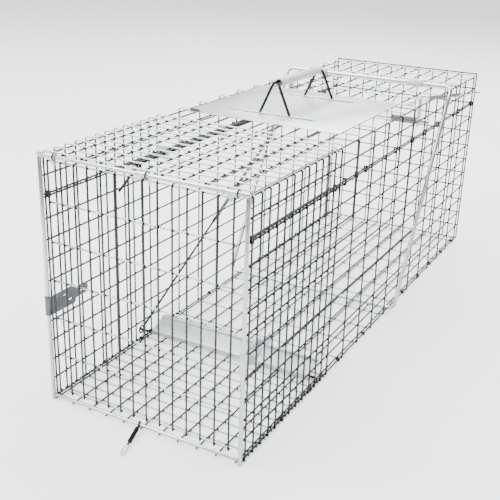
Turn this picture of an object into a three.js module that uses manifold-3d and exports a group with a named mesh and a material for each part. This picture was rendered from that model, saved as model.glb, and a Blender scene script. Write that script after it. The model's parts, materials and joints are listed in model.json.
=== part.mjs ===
// Live catch trap: a welded wire cage with one inward-swinging door, a one-hand set lever and a treadle.
// Millimetres. X is the width, Y runs from the door (-Y) to the closed end (+Y), Z is up.
// The origin is the centre of the floor's underside.
import * as THREE from 'three';
import Module from 'manifold-3d';
import { mergeVertices } from 'three/addons/utils/BufferGeometryUtils.js';

// Overall sizes of the wire cage
const cageWidth = 260;
const cageLength = 813;
const cageHeight = 304.8;

// Clearances
const touchGap = 0.3;
const runningGap = 0.5;
const looseGap = 1.2;

// Wire mesh: two crossing layers of wire, modelled as one flat grille of bars
const panelThickness = 4.2;
const barWidth = 3;
const denseFirst = 10.2;
const densePitch = 17.75;
const denseSteps = 12;
const denseSkip = 3;
const wideCells = 11;
const rearMargin = 18;
const acrossCells = 5;
const floorAcrossCells = 4;
const lowerSideCells = 5;
const endCells = 5;
const upperStripHeight = 50.8;
const seamGap = 0.6;
const panelLift = 1.6;
const floorFrontInset = 8;

// Front frame
const frameRod = 4.6;
const bottomRod = 4;
const frameInset = 2.5;
const bottomRodHeight = 6.5;

// Door
const doorSideGap = 3.2;
const doorInset = 7.5;
const doorBottomHeight = 10;
const hingeDrop = 11.3;
const doorCellsAcross = 5;
const doorCellsUp = 6;
const hingeClipWidth = 14;
const hingeClipSheet = 0.9;
const hingeClipMiddleX = 7;

// Side tabs beside the door
const tabSheet = 1.2;
const tabLength = 68;
const tabStepLength = 44;
const tabHeight = 23;
const tabTailHeight = 12;
const tabCentreHeight = 123;

// Set lever
const leverRod = 6;
const leverSideGap = 5.5;
const leverPivotFromFront = 445;
const leverTopFromFront = 622;
const sleeveRadius = 5.5;
const sleeveLength = 25;
const sleeveOffset = 81;

// Treadle and its axle
const treadleSideGap = 7;
const treadleSheet = 1.2;
const treadleLip = 7;
const treadleLipReach = 6;
const treadleRamp = 28;
const treadleRise = 11;
const treadleFloorGap = 0.8;
const gussetDepth = 22;
const gussetTip = 2;
const axleFromFront = 199;
const axleRise = 3.6;
const axleRod = 4;
const crankForward = 9;
const crankRise = 1;
const crankPlate = 2;
const crankPin = 3;
const treadleSpringLength = 16;
const treadleSpringInset = 16;

// Trip rod beside the left wall: a wire that ends in a notched latch bar
const tripWire = 3;
const tripEyeInner = 3.8;
const tripEyeWall = 2.2;
const latchBarThickness = 1.5;
const latchBarDepth = 8;
const latchBarStart = 225;
const latchBarOverrun = 30;
const latchNotch = 4;
const guideReach = 237;
const guideOpening = 24;
const guideSheet = 1;
const guideWidth = 5;

// Roof mechanism: rocker shaft, pull rod and door link
const rockerFromFront = 571;
const rockerRod = 5;
const rockerCrank = 31.3;
const rockerLean = 30;
const rockerBracketInset = 22;
const rockerBracketSheet = 1.2;
const rockerBracketWidth = 16;
const rockerSpringLength = 42;
const rockerSpringWall = 2.4;
const pullRod = 4;
const pullRodX = -38;
const pullRodDrop = 8;
const pullRodFront = 50.8;
const pullEyeInner = 4.5;
const pullEyeWall = 2.2;
const linkWire = 3;
const linkDoorReach = 26;
const linkShortfall = 10;
const rodGuideSheet = 1;
const rodGuidePlaces = [105, 235];

// Guard plate and carrying handle on the roof
const guardFront = 259;
const guardRear = 475;
const guardWidth = 216;
const guardSheet = 1;
const guardTab = 14;
const slotLength = 124.5;
const slotWidth = 9;
const slotX = -6.3;
const handleFront = 302;
const handleRear = 437;
const handleWire = 4;
const handleFootX = 21.6;
const handleTopX = 3.6;
const handleRise = 42;
const gripOuter = 8;
const gripWall = 1.6;
const gripEndGap = 8;
const crossRod = 4;

// Lock rod on the right wall, with its spring and collar
const lockRod = 3;
const lockX = 2.8;
const lockFront = 522;
const lockRearOverhang = 20;
const lockFrontHeight = 309;
const lockRearHeight = 269;
const lockSpringFront = 530;
const lockSpringRear = 684;
const lockCollarLength = 7;
const lockCollarWall = 0.7;
const clipBar = 9;
const clipLength = 12;
const clipWidth = 10;

// Hook on the front bottom rod
const hookWire = 2.4;
const hookX = -3;
const hookReach = 36;
const hookDrop = 3.6;
const hookTipLength = 19;
const hookTipWidth = 8;
const hookEyeWall = 1.2;
const hookSkew = 15;

// Ring clips that lace the panels together
const ringSheet = 1;
const ringLength = 1.8;
const ringSpare = 0.4;

const roundSides = 12;
const fineSides = 16;
const turn = Math.PI / 180;

// Derived planes and places
const halfWidth = cageWidth / 2;
const frontY = -cageLength / 2;
const rearY = cageLength / 2;
const panelFrontY = frontY + frameInset + frameRod / 2 + runningGap;
const panelRearY = rearY - panelThickness - touchGap;
const roofUnder = cageHeight - panelThickness;
const wallInner = halfWidth - panelThickness;
const seamHeight = cageHeight - upperStripHeight;
const hingeHeight = cageHeight - hingeDrop;
const doorY = frontY + doorInset;
const leverX = halfWidth + leverSideGap + leverRod / 2;
const leverPivotHeight = panelThickness + 2 * touchGap + leverRod / 2;
const leverTopHeight = cageHeight + touchGap + sleeveRadius + 0.1;
const leverPivotY = frontY + leverPivotFromFront;
const leverTopY = frontY + leverTopFromFront;
const leverLean = Math.atan2(leverTopY - leverPivotY, leverTopHeight - leverPivotHeight);
const leverLength = Math.hypot(leverTopY - leverPivotY, leverTopHeight - leverPivotHeight);
const treadleFoot = panelThickness + treadleFloorGap;
const axleHeight = treadleFoot + axleRise;
const treadleFrontY = frontY + axleFromFront;
const crankPinY = treadleFrontY - crankForward;
const crankPinZ = axleHeight + crankRise;
const tripX = -(leverX - leverRod / 2 - touchGap - latchBarThickness / 2);
const pullRodZ = roofUnder - pullRodDrop;
const rockerY = frontY + rockerFromFront;
const rockerZ = pullRodZ - rockerCrank * (1 + Math.cos(rockerLean * turn)) / 2;

const galvanised = new THREE.MeshStandardMaterial({ color: 0xb9bcbe, roughness: 0.42, metalness: 0.9 });
const darkWire = new THREE.MeshStandardMaterial({ color: 0x6f7375, roughness: 0.5, metalness: 0.85 });
const brightRod = new THREE.MeshStandardMaterial({ color: 0xd2d4d5, roughness: 0.3, metalness: 0.95 });
const sheetSteel = new THREE.MeshStandardMaterial({ color: 0xdadcdd, roughness: 0.35, metalness: 0.9 });
const springSteel = new THREE.MeshStandardMaterial({ color: 0x55585a, roughness: 0.45, metalness: 0.85 });
const gripPlastic = new THREE.MeshStandardMaterial({ color: 0xe9e9e6, roughness: 0.55, metalness: 0 });

const trap = new THREE.Group();
const wasm = await Module();
wasm.setup();

function addPart(name, geometry, material) {
  const mesh = new THREE.Mesh(geometry, material);
  mesh.name = name;
  trap.add(mesh);
  return mesh;
}

// Booleans
function toSolid(geometry) {
  const bare = new THREE.BufferGeometry();
  const source = geometry.index ? geometry.toNonIndexed() : geometry;
  bare.setAttribute('position', source.getAttribute('position'));
  const merged = mergeVertices(bare, 1e-4);
  return new wasm.Manifold(new wasm.Mesh({
    numProp: 3,
    vertProperties: merged.attributes.position.array,
    triVerts: new Uint32Array(merged.index.array),
  }));
}

function toGeometry(solid) {
  const mesh = solid.getMesh();
  const geometry = new THREE.BufferGeometry();
  geometry.setAttribute('position', new THREE.BufferAttribute(new Float32Array(mesh.vertProperties), 3));
  geometry.setIndex(new THREE.BufferAttribute(new Uint32Array(mesh.triVerts), 1));
  return geometry;
}

function join(...geometries) {
  return toGeometry(geometries.map(toSolid).reduce((whole, piece) => whole.add(piece)));
}

function cut(geometry, ...tools) {
  return toGeometry(tools.map(toSolid).reduce((rest, tool) => rest.subtract(tool), toSolid(geometry)));
}

// Shapes
function block(x0, x1, y0, y1, z0, z1) {
  const box = new THREE.BoxGeometry(x1 - x0, y1 - y0, z1 - z0);
  return box.translate((x0 + x1) / 2, (y0 + y1) / 2, (z0 + z1) / 2);
}

// A straight rod between two points
function rod(from, to, diameter, sides = roundSides) {
  const start = new THREE.Vector3(...from);
  const end = new THREE.Vector3(...to);
  const along = new THREE.Vector3().subVectors(end, start);
  const geometry = new THREE.CylinderGeometry(diameter / 2, diameter / 2, along.length(), sides);
  const upward = new THREE.Vector3(0, 1, 0);
  geometry.applyQuaternion(new THREE.Quaternion().setFromUnitVectors(upward, along.clone().normalize()));
  return geometry.translate(...start.add(end).multiplyScalar(0.5).toArray());
}

function acrossRod(x0, x1, y, z, diameter) {
  return rod([x0, y, z], [x1, y, z], diameter);
}

// A wire that follows a polyline with rounded corners
function bentWire(points, bend, diameter, steps) {
  const path = new THREE.CurvePath();
  const corners = points.map((point) => new THREE.Vector3(...point));
  let last = corners[0];
  for (let i = 1; i < corners.length - 1; i += 1) {
    const corner = corners[i];
    const before = corner.clone().add(corners[i - 1].clone().sub(corner).setLength(bend));
    const after = corner.clone().add(corners[i + 1].clone().sub(corner).setLength(bend));
    path.add(new THREE.LineCurve3(last, before));
    path.add(new THREE.QuadraticBezierCurve3(before, corner, after));
    last = after;
  }
  path.add(new THREE.LineCurve3(last, corners[corners.length - 1]));
  const section = new THREE.Shape().absarc(0, 0, diameter / 2, 0, 2 * Math.PI, false);
  return new THREE.ExtrudeGeometry(section, { steps, extrudePath: path, curveSegments: 4 });
}

// A round tube or ring about an axis along X
function ringAcross(x0, x1, y, z, inner, outer, sides = fineSides) {
  const fit = 1 / Math.cos(Math.PI / sides);
  const profile = [
    new THREE.Vector2(inner * fit, x0),
    new THREE.Vector2(outer, x0),
    new THREE.Vector2(outer, x1),
    new THREE.Vector2(inner * fit, x1),
    new THREE.Vector2(inner * fit, x0),
  ];
  const ring = new THREE.LatheGeometry(profile, sides);
  ring.rotateZ(-Math.PI / 2);
  return ring.translate(0, y, z);
}

function discAcross(x0, x1, y, z, radius) {
  return rod([x0, y, z], [x1, y, z], 2 * radius, fineSides);
}

// Turns a shape drawn in the YZ plane and extruded along its own Z into one extruded along X
function standAlongX(geometry) {
  const axes = new THREE.Matrix4().makeBasis(
    new THREE.Vector3(0, 1, 0),
    new THREE.Vector3(0, 0, 1),
    new THREE.Vector3(1, 0, 0),
  );
  return geometry.applyMatrix4(axes);
}

// Turns a shape drawn in the XZ plane into one extruded towards -Y
function standAcross(geometry) {
  const axes = new THREE.Matrix4().makeBasis(
    new THREE.Vector3(1, 0, 0),
    new THREE.Vector3(0, 0, 1),
    new THREE.Vector3(0, -1, 0),
  );
  return geometry.applyMatrix4(axes);
}

// Bar centres that divide a span into equal cells, with a bar along each edge
function evenBars(low, high, cells) {
  const first = low + barWidth / 2;
  const step = (high - low - barWidth) / cells;
  return Array.from({ length: cells + 1 }, (_, i) => first + i * step);
}

// Bar centres along the cage: close wires near the door, then wide cells to the rear
function lengthBars(low, high) {
  const bars = [low + barWidth / 2];
  for (let i = denseSkip; i <= denseSteps; i += denseSkip) bars.push(frontY + denseFirst + i * densePitch);
  const widePitch = (rearY - rearMargin - bars[bars.length - 1]) / wideCells;
  const wideStart = bars[bars.length - 1];
  for (let i = 1; i < wideCells; i += 1) bars.push(wideStart + i * widePitch);
  bars.push(high - barWidth / 2);
  return bars;
}

// A flat grille in the XY plane: the spans between bar edges are alternately bar and opening both ways
function grille(barsA, barsB) {
  const edges = (bars) => bars.flatMap((bar) => [bar - barWidth / 2, bar + barWidth / 2]);
  const [a, b] = [edges(barsA), edges(barsB)];
  const inside = (i, j) => i >= 0 && j >= 0 && i < a.length - 1 && j < b.length - 1;
  const solid = (i, j) => inside(i, j) && (i % 2 === 0 || j % 2 === 0);
  const [low, high] = [0, panelThickness];
  const points = [];
  const quad = (p, q, r, s) => points.push(...p, ...q, ...r, ...p, ...r, ...s);
  for (let i = 0; i < a.length - 1; i += 1) {
    for (let j = 0; j < b.length - 1; j += 1) {
      if (!solid(i, j)) continue;
      const [x0, x1, y0, y1] = [a[i], a[i + 1], b[j], b[j + 1]];
      quad([x0, y0, high], [x1, y0, high], [x1, y1, high], [x0, y1, high]);
      quad([x0, y0, low], [x0, y1, low], [x1, y1, low], [x1, y0, low]);
      if (!solid(i - 1, j)) quad([x0, y0, low], [x0, y0, high], [x0, y1, high], [x0, y1, low]);
      if (!solid(i + 1, j)) quad([x1, y0, low], [x1, y1, low], [x1, y1, high], [x1, y0, high]);
      if (!solid(i, j - 1)) quad([x0, y0, low], [x1, y0, low], [x1, y0, high], [x0, y0, high]);
      if (!solid(i, j + 1)) quad([x0, y1, low], [x0, y1, high], [x1, y1, high], [x1, y1, low]);
    }
  }
  const geometry = new THREE.BufferGeometry();
  return geometry.setAttribute('position', new THREE.Float32BufferAttribute(points, 3));
}

// Cage panels
function makeRoof() {
  const bars = lengthBars(panelFrontY, panelRearY);
  const roof = grille(evenBars(-halfWidth, halfWidth, acrossCells), bars).translate(0, 0, roofUnder);
  const notches = hingeClipCentres().map((x) => {
    const half = hingeClipWidth / 2 + looseGap;
    const depth = panelFrontY + 2 * barWidth;
    return block(x - half, x + half, panelFrontY - 1, depth, roofUnder - 1, cageHeight + 1);
  });
  addPart('roof_panel', cut(roof, ...notches), galvanised);
}

function makeWall(side, name) {
  const bars = lengthBars(panelFrontY, panelRearY);
  const x = side > 0 ? wallInner : -halfWidth;
  const lower = grille(bars, evenBars(panelLift, seamHeight - seamGap / 2, lowerSideCells));
  const upper = grille(bars, evenBars(seamHeight + seamGap / 2, roofUnder - touchGap, 1));
  addPart(`side_panel_${name}`, standAlongX(lower), galvanised).position.x = x;
  addPart(`upper_strip_${name}`, standAlongX(upper), galvanised).position.x = x;
}

function makeFloorAndRear() {
  const inside = wallInner - ringSheet - ringSpare - touchGap;
  const floor = grille(
    evenBars(-inside, inside, floorAcrossCells),
    floorBars(frontY + floorFrontInset, panelRearY),
  );
  addPart('floor_panel', floor, galvanised);
  const rear = grille(
    evenBars(-halfWidth, halfWidth, acrossCells),
    evenBars(panelLift, cageHeight, endCells + 1),
  );
  addPart('rear_panel', standAcross(rear), galvanised).position.y = rearY;
}

// The floor has a cross bar through the origin, which is where it is measured from
function floorBars(low, high) {
  const half = wideCells - denseSkip;
  const front = evenBars(low, barWidth / 2, half);
  const rear = evenBars(-barWidth / 2, high, half);
  return [...front, ...rear.slice(1)];
}

function hingeClipCentres() {
  const outer = wallInner - doorSideGap - barWidth - 2 * touchGap - hingeClipWidth / 2;
  return [-outer, hingeClipMiddleX, outer];
}

// Front frame of heavier rod around the doorway
function makeFrontFrame() {
  const y = frontY + frameInset;
  const x = halfWidth - frameRod / 2 - 0.1;
  const topZ = cageHeight - frameRod / 2 - 1;
  for (const [side, name] of [[-1, 'left'], [1, 'right']]) {
    const top = topZ - frameRod / 2 - touchGap;
    addPart(`front_post_${name}`, rod([side * x, y, 0], [side * x, y, top], frameRod), brightRod);
  }
  addPart('front_top_rod', acrossRod(-halfWidth, halfWidth, y, topZ, frameRod), brightRod);
  const span = x - frameRod / 2 - touchGap;
  addPart('front_bottom_rod', acrossRod(-span, span, y, bottomRodHeight, bottomRod), brightRod);
  return { y, topZ };
}

// Door grille and the three sheet clips it hangs from
function makeDoor(frame) {
  const half = wallInner - doorSideGap;
  const up = evenBars(doorBottomHeight, hingeHeight + barWidth / 2, doorCellsUp);
  const door = grille(evenBars(-half, half, doorCellsAcross), up);
  addPart('door_panel', standAcross(door), galvanised).position.y = doorY + panelThickness / 2;
  const inner = Math.hypot(panelThickness, barWidth) / 2 + runningGap;
  const names = ['left', 'middle', 'right'];
  hingeClipCentres().forEach((x, i) => {
    const clip = linkRing([frame.y, frame.topZ], [doorY, hingeHeight], inner, hingeClipSheet, hingeClipWidth);
    addPart(`hinge_clip_${names[i]}`, clip, sheetSteel).position.x = x - hingeClipWidth / 2;
  });
}

// A sheet strip wrapped around two parallel rods, drawn in the YZ plane and extruded along X
function linkRing(first, second, inner, sheet, length) {
  const heading = Math.atan2(second[1] - first[1], second[0] - first[0]);
  const outline = (shape, radius, reverse) => {
    const quarter = Math.PI / 2;
    if (reverse) {
      shape.absarc(first[0], first[1], radius, heading - quarter, heading - 3 * quarter, true);
      shape.absarc(second[0], second[1], radius, heading + quarter, heading - quarter, true);
    } else {
      shape.absarc(first[0], first[1], radius, heading + quarter, heading + 3 * quarter, false);
      shape.absarc(second[0], second[1], radius, heading - quarter, heading + quarter, false);
    }
    return shape;
  };
  const band = outline(new THREE.Shape(), inner + sheet, false);
  band.holes.push(outline(new THREE.Path(), inner, true));
  const strip = new THREE.ExtrudeGeometry(band, { depth: length, bevelEnabled: false, curveSegments: 5 });
  return standAlongX(strip);
}

// Tabs that wrap the front posts and run back inside the walls, beside the door
function makeTabs() {
  const outerX = wallInner - 2 * runningGap;
  const front = frontY - touchGap;
  const [half, tail] = [tabHeight / 2, tabTailHeight / 2];
  for (const [side, name] of [[-1, 'left'], [1, 'right']]) {
    const strip = (x0, x1, y0, y1, rise) => {
      const [left, right] = side > 0 ? [x0, x1] : [-x1, -x0];
      return block(left, right, y0, y1, tabCentreHeight - rise, tabCentreHeight + rise);
    };
    const face = strip(outerX - tabSheet, halfWidth + 1, front - tabSheet, front, half);
    const leg = strip(outerX - tabSheet, outerX, front - tabSheet / 2, frontY + tabStepLength, half);
    const end = strip(outerX - tabSheet, outerX, frontY + tabStepLength - 1, frontY + tabLength, tail);
    addPart(`lock_tab_${name}`, join(face, leg, end), sheetSteel);
  }
}

// Set lever: two arms, a top bar with two sleeves, and the pivot rod through the cage's foot
function makeLever() {
  const joinGap = leverRod / 2 + touchGap;
  const armEnd = leverLength - joinGap;
  const onArm = (x, distance) => [
    x,
    leverPivotY + distance * Math.sin(leverLean),
    leverPivotHeight + distance * Math.cos(leverLean),
  ];
  addPart('lever_arm_right', rod(onArm(leverX, joinGap), onArm(leverX, armEnd), leverRod), brightRod);
  addPart('lever_arm_left', leftArm(joinGap, armEnd), brightRod);
  const over = leverX + leverRod / 2;
  addPart('lever_top_bar', acrossRod(-over, over, leverTopY, leverTopHeight, leverRod), brightRod);
  addPart('lever_pivot_rod', acrossRod(-over, over, leverPivotY, leverPivotHeight, leverRod), brightRod);
  for (const [side, name] of [[-1, 'left'], [1, 'right']]) {
    const x = side * sleeveOffset;
    const bore = leverRod / 2 + touchGap;
    const [x0, x1] = [x - sleeveLength / 2, x + sleeveLength / 2];
    const sleeve = ringAcross(x0, x1, leverTopY, leverTopHeight, bore, sleeveRadius);
    addPart(`lever_sleeve_${name}`, sleeve, gripPlastic);
  }
}

// The left arm carries a sheet guide that the latch bar runs through
function leftArm(start, end) {
  const arm = rod([0, 0, start], [0, 0, end], leverRod);
  const reach = leverSideGap + leverRod / 2 - ringSpare - ringSheet - runningGap;
  const half = guideWidth / 2;
  const low = guideReach - guideOpening / 2;
  const high = guideReach + guideOpening / 2;
  const inner = block(reach - guideSheet, reach, -half, half, low - guideSheet * 3, high + guideSheet * 3);
  const foot = block(leverRod / 2 - 1, reach, -half, half, low - guideSheet * 3, low);
  const head = block(leverRod / 2 - 1, reach, -half, half, high, high + guideSheet * 3);
  const guided = join(arm, inner, foot, head);
  guided.rotateX(-leverLean);
  return guided.translate(-leverX, leverPivotY, leverPivotHeight);
}

// Treadle: a sheet ramp with a front lip and end gussets, on an axle with a crank at its left end
function makeTreadle() {
  const half = wallInner - treadleSideGap;
  const y0 = treadleFrontY - treadleLipReach;
  const bend = treadleFoot + treadleLip;
  const [y1, z1] = [y0 + treadleRamp, bend + treadleRise];
  const outline = [
    [y0, treadleFoot],
    [y0 + treadleSheet, treadleFoot],
    [y0 + treadleSheet, bend - treadleSheet / 2],
    [y1 + treadleSheet / 2, z1 - treadleSheet],
    [y1, z1],
    [y0, bend],
  ];
  const ramp = extrudeAlongX(outline, 2 * half).translate(-half, 0, 0);
  const slope = (z1 - bend) / (y1 - y0);
  const gussetEnd = y0 + gussetDepth;
  const gussetTop = bend - treadleSheet / 2 + slope * gussetDepth;
  const side = [
    [y0 + treadleSheet / 2, treadleFoot],
    [gussetEnd, gussetTop - gussetTip],
    [gussetEnd, gussetTop],
    [y0 + treadleSheet / 2, bend - treadleSheet / 4],
  ];
  const gusset = (x) => cut(
    extrudeAlongX(side, treadleSheet).translate(x, 0, 0),
    discAcross(x - 1, x + treadleSheet + 1, treadleFrontY, axleHeight, axleRod / 2 + runningGap),
  );
  addPart('treadle', join(ramp, gusset(-half), gusset(half - treadleSheet)), sheetSteel);

  const plateX = -(wallInner - looseGap - crankPlate);
  const axleEnd = wallInner - looseGap;
  const shaft = acrossRod(plateX - crankPlate / 2, axleEnd, treadleFrontY, axleHeight, axleRod);
  const plate = linkPlate([treadleFrontY, axleHeight], [crankPinY, crankPinZ], axleRod / 2, crankPlate)
    .translate(plateX - crankPlate, 0, 0);
  const pinEnd = tripX - tripWire / 2 - touchGap;
  const pin = acrossRod(pinEnd, plateX - crankPlate / 2, crankPinY, crankPinZ, crankPin);
  addPart('treadle_axle', join(shaft, plate, pin), darkWire);
  const springX = half - treadleSpringInset - treadleSpringLength;
  const spring = ringAcross(springX, springX + treadleSpringLength, treadleFrontY, axleHeight,
    axleRod / 2 + touchGap, axleRod / 2 + touchGap + 1.2);
  addPart('treadle_spring', spring, springSteel);
}

// A closed outline in the YZ plane extruded along X from zero
function extrudeAlongX(outline, length) {
  const shape = new THREE.Shape(outline.map((point) => new THREE.Vector2(...point)));
  return standAlongX(new THREE.ExtrudeGeometry(shape, { depth: length, bevelEnabled: false }));
}

// A flat link with round ends, drawn in the YZ plane and extruded along X
function linkPlate(first, second, radius, thickness) {
  const heading = Math.atan2(second[1] - first[1], second[0] - first[0]);
  const quarter = Math.PI / 2;
  const shape = new THREE.Shape();
  shape.absarc(first[0], first[1], radius, heading + quarter, heading + 3 * quarter, false);
  shape.absarc(second[0], second[1], radius, heading - quarter, heading + quarter, false);
  const settings = { depth: thickness, bevelEnabled: false, curveSegments: 6 };
  return standAlongX(new THREE.ExtrudeGeometry(shape, settings));
}

// Trip rod from the treadle's crank up to the guide on the lever's left arm
function makeTripRod() {
  const guideY = leverPivotY + guideReach * Math.sin(leverLean);
  const guideZ = leverPivotHeight + guideReach * Math.cos(leverLean);
  const heading = Math.atan2(guideZ - crankPinZ, guideY - crankPinY);
  const length = Math.hypot(guideZ - crankPinZ, guideY - crankPinY);
  const eye = ringAcross(-tripWire / 2, tripWire / 2, 0, 0, tripEyeInner, tripEyeInner + tripEyeWall);
  const wire = rod([0, tripEyeInner + tripEyeWall / 2, 0], [0, latchBarStart - touchGap, 0], tripWire);
  const lower = join(eye, wire).rotateX(heading).translate(tripX, crankPinY, crankPinZ);
  addPart('trip_wire', lower, darkWire);
  const half = latchBarThickness / 2;
  const edge = latchBarDepth / 2;
  const bar = block(-half, half, latchBarStart, length + latchBarOverrun, -edge, edge);
  const swung = Math.hypot(leverPivotY - crankPinY, guideReach + leverPivotHeight - crankPinZ);
  const notch = block(-1 - half, 1 + half, swung - latchNotch / 2, swung + latchNotch / 2,
    latchBarDepth / 2 - latchNotch / 2, latchBarDepth);
  const latch = cut(bar, notch).rotateX(heading).translate(tripX, crankPinY, crankPinZ);
  addPart('latch_bar', latch, springSteel);
}

// Rocker shaft under the roof, with brackets, springs and the crank that draws the pull rod
function makeRocker() {
  const end = wallInner - looseGap;
  const lean = rockerLean * turn;
  const tip = [rockerY - rockerCrank * Math.sin(lean), rockerZ + rockerCrank * Math.cos(lean)];
  const crankX = pullRodX + pullRod / 2 + runningGap;
  const shaft = acrossRod(-end, end, rockerY, rockerZ, rockerRod);
  const crank = linkPlate([rockerY, rockerZ], tip, 4, crankPlate).translate(crankX, 0, 0);
  const pin = acrossRod(pullRodX - pullRod / 2, crankX + 0.5, tip[0], tip[1], crankPin);
  addPart('rocker_shaft', join(shaft, crank, pin), darkWire);
  for (const [side, name] of [[-1, 'left'], [1, 'right']]) {
    const x = side * (halfWidth - rockerBracketInset);
    const bore = discAcross(x - 3, x + 3, rockerY, rockerZ, (rockerRod / 2 + runningGap) * 1.05);
    const half = rockerBracketWidth / 2;
    const low = rockerZ - half;
    const plate = block(x - rockerBracketSheet / 2, x + rockerBracketSheet / 2,
      rockerY - half, rockerY + half, low, roofUnder - touchGap);
    addPart(`rocker_bracket_${name}`, cut(plate, bore), sheetSteel);
    const inner = rockerRod / 2 + touchGap;
    const near = Math.abs(x) - rockerBracketSheet - touchGap;
    const [s0, s1] = side > 0 ? [near - rockerSpringLength, near] : [-near, rockerSpringLength - near];
    const spring = ringAcross(s0, s1, rockerY, rockerZ, inner, inner + rockerSpringWall);
    addPart(`rocker_spring_${name}`, spring, springSteel);
  }
  return tip;
}

// Pull rod under the roof: an eye on the rocker's pin at the rear, a cross pin for the door link in front
function makePullRod(tip) {
  const front = frontY + pullRodFront;
  const outer = pullEyeInner + pullEyeWall;
  const [left, right] = [pullRodX - pullRod / 2, pullRodX + pullRod / 2];
  const eye = ringAcross(left, right, tip[0], pullRodZ, pullEyeInner, outer);
  const rear = tip[0] - outer + pullEyeWall / 2;
  const bar = rod([pullRodX, front, pullRodZ], [pullRodX, rear, pullRodZ], pullRod);
  const linkX = pullRodX + pullRod / 2 + runningGap;
  const pin = acrossRod(pullRodX, linkX + linkWire + touchGap, front + pullRod / 2, pullRodZ, linkWire - 1);
  addPart('pull_rod', join(eye, bar, pin), darkWire);
  rodGuidePlaces.forEach((place, i) => {
    const y = frontY + place;
    const plate = block(pullRodX - 7, pullRodX + 7, y, y + rodGuideSheet, pullRodZ - 6, roofUnder - touchGap);
    const bore = pullRod + 4 * runningGap;
    const hole = rod([pullRodX, y - 1, pullRodZ], [pullRodX, y + 2, pullRodZ], bore, fineSides);
    addPart(`rod_guide_${i === 0 ? 'front' : 'rear'}`, cut(plate, hole), sheetSteel);
  });
  return { y: front + pullRod / 2, x: linkX };
}

// Link from the pull rod down to the door
function makeDoorLink(pinPlace) {
  const rise = pullRodZ - (hingeHeight - linkDoorReach);
  const back = pinPlace.y - doorY;
  const length = Math.hypot(rise, back);
  const heading = Math.atan2(-rise, -back);
  const inner = linkWire / 2;
  const eye = ringAcross(0, linkWire, 0, 0, inner, inner + 2);
  const wire = rod([linkWire / 2, inner + 1, 0], [linkWire / 2, length - linkShortfall, 0], linkWire);
  const link = join(eye, wire).rotateX(heading).translate(pinPlace.x, pinPlace.y, pullRodZ);
  addPart('door_link', link, darkWire);
}

// Guard plate with two slots for the handle, and a small upturned tab at its front left corner
function makeGuardPlate() {
  const low = cageHeight + touchGap;
  const half = guardWidth / 2;
  const y0 = frontY + guardFront;
  const plate = block(-half, half, y0, frontY + guardRear, low, low + guardSheet);
  const tabX = -half + guardTab / 2;
  const tab = block(tabX, tabX + guardTab, y0, y0 + guardSheet, low + guardSheet / 2, low + guardTab / 3);
  const slots = [handleFront, handleRear].map((place) => block(
    slotX - slotLength / 2, slotX + slotLength / 2,
    frontY + place - slotWidth / 2, frontY + place + slotWidth / 2, low - 1, low + guardSheet + 1,
  ));
  addPart('guard_plate', cut(join(plate, tab), ...slots), sheetSteel);
}

// Carrying handle: cross rods in the slots, two bent wires and a tubular grip
function makeHandle() {
  const rodZ = cageHeight + touchGap + crossRod / 2;
  const footZ = rodZ + crossRod / 2 + touchGap + handleWire / 2;
  const topZ = cageHeight + handleRise;
  const places = [[handleFront, 'front'], [handleRear, 'rear']];
  for (const [place, name] of places) {
    const half = slotLength / 2 - 2;
    const bar = acrossRod(slotX - half, slotX + half, frontY + place, rodZ, crossRod);
    addPart(`handle_cross_rod_${name}`, bar, darkWire);
  }
  for (const [side, name] of [[-1, 'left'], [1, 'right']]) {
    const points = [
      [side * handleFootX, frontY + handleFront, footZ],
      [side * handleTopX, frontY + handleFront, topZ],
      [side * handleTopX, frontY + handleRear, topZ],
      [side * handleFootX, frontY + handleRear, footZ],
    ];
    addPart(`handle_wire_${name}`, bentWire(points, 6, handleWire, 40), darkWire);
  }
  const y0 = frontY + handleFront + gripEndGap;
  const y1 = frontY + handleRear - gripEndGap;
  const bore = gripOuter - gripWall;
  const ring = ringAcross(y0, y1, 0, 0, bore, gripOuter);
  ring.rotateZ(Math.PI / 2);
  addPart('handle_grip', ring.translate(0, 0, topZ), gripPlastic);
}

// Lock rod: slides along the right wall's top edge, through a spring and a roof clip
function makeLockRod() {
  const x = halfWidth + lockX;
  const y0 = frontY + lockFront;
  const y1 = rearY + lockRearOverhang;
  const heightAt = (y) => lockFrontHeight + (lockRearHeight - lockFrontHeight) * (y - y0) / (y1 - y0);
  const onRod = (place) => [x, frontY + place, heightAt(frontY + place)];
  const bar = rod([x, y0, heightAt(y0)], [x, y1, heightAt(y1)], lockRod);
  addPart('lock_rod', bar, brightRod);
  const sleeve = (from, to, wall, name, material) => {
    const start = new THREE.Vector3(...onRod(from));
    const end = new THREE.Vector3(...onRod(to));
    const length = start.distanceTo(end);
    const inner = lockRod / 2 + touchGap;
    const ring = ringAcross(-length / 2, length / 2, 0, 0, inner, inner + wall);
    const along = new THREE.Vector3().subVectors(end, start).normalize();
    ring.applyQuaternion(new THREE.Quaternion().setFromUnitVectors(new THREE.Vector3(1, 0, 0), along));
    ring.translate(...start.add(end).multiplyScalar(0.5).toArray());
    addPart(name, ring, material);
  };
  sleeve(lockSpringFront, lockSpringRear, lockCollarWall, 'lock_spring', springSteel);
  const collarEnd = lockSpringRear + 2 + lockCollarLength;
  sleeve(lockSpringRear + 2, collarEnd, lockCollarWall, 'lock_collar', darkWire);
}

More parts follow.
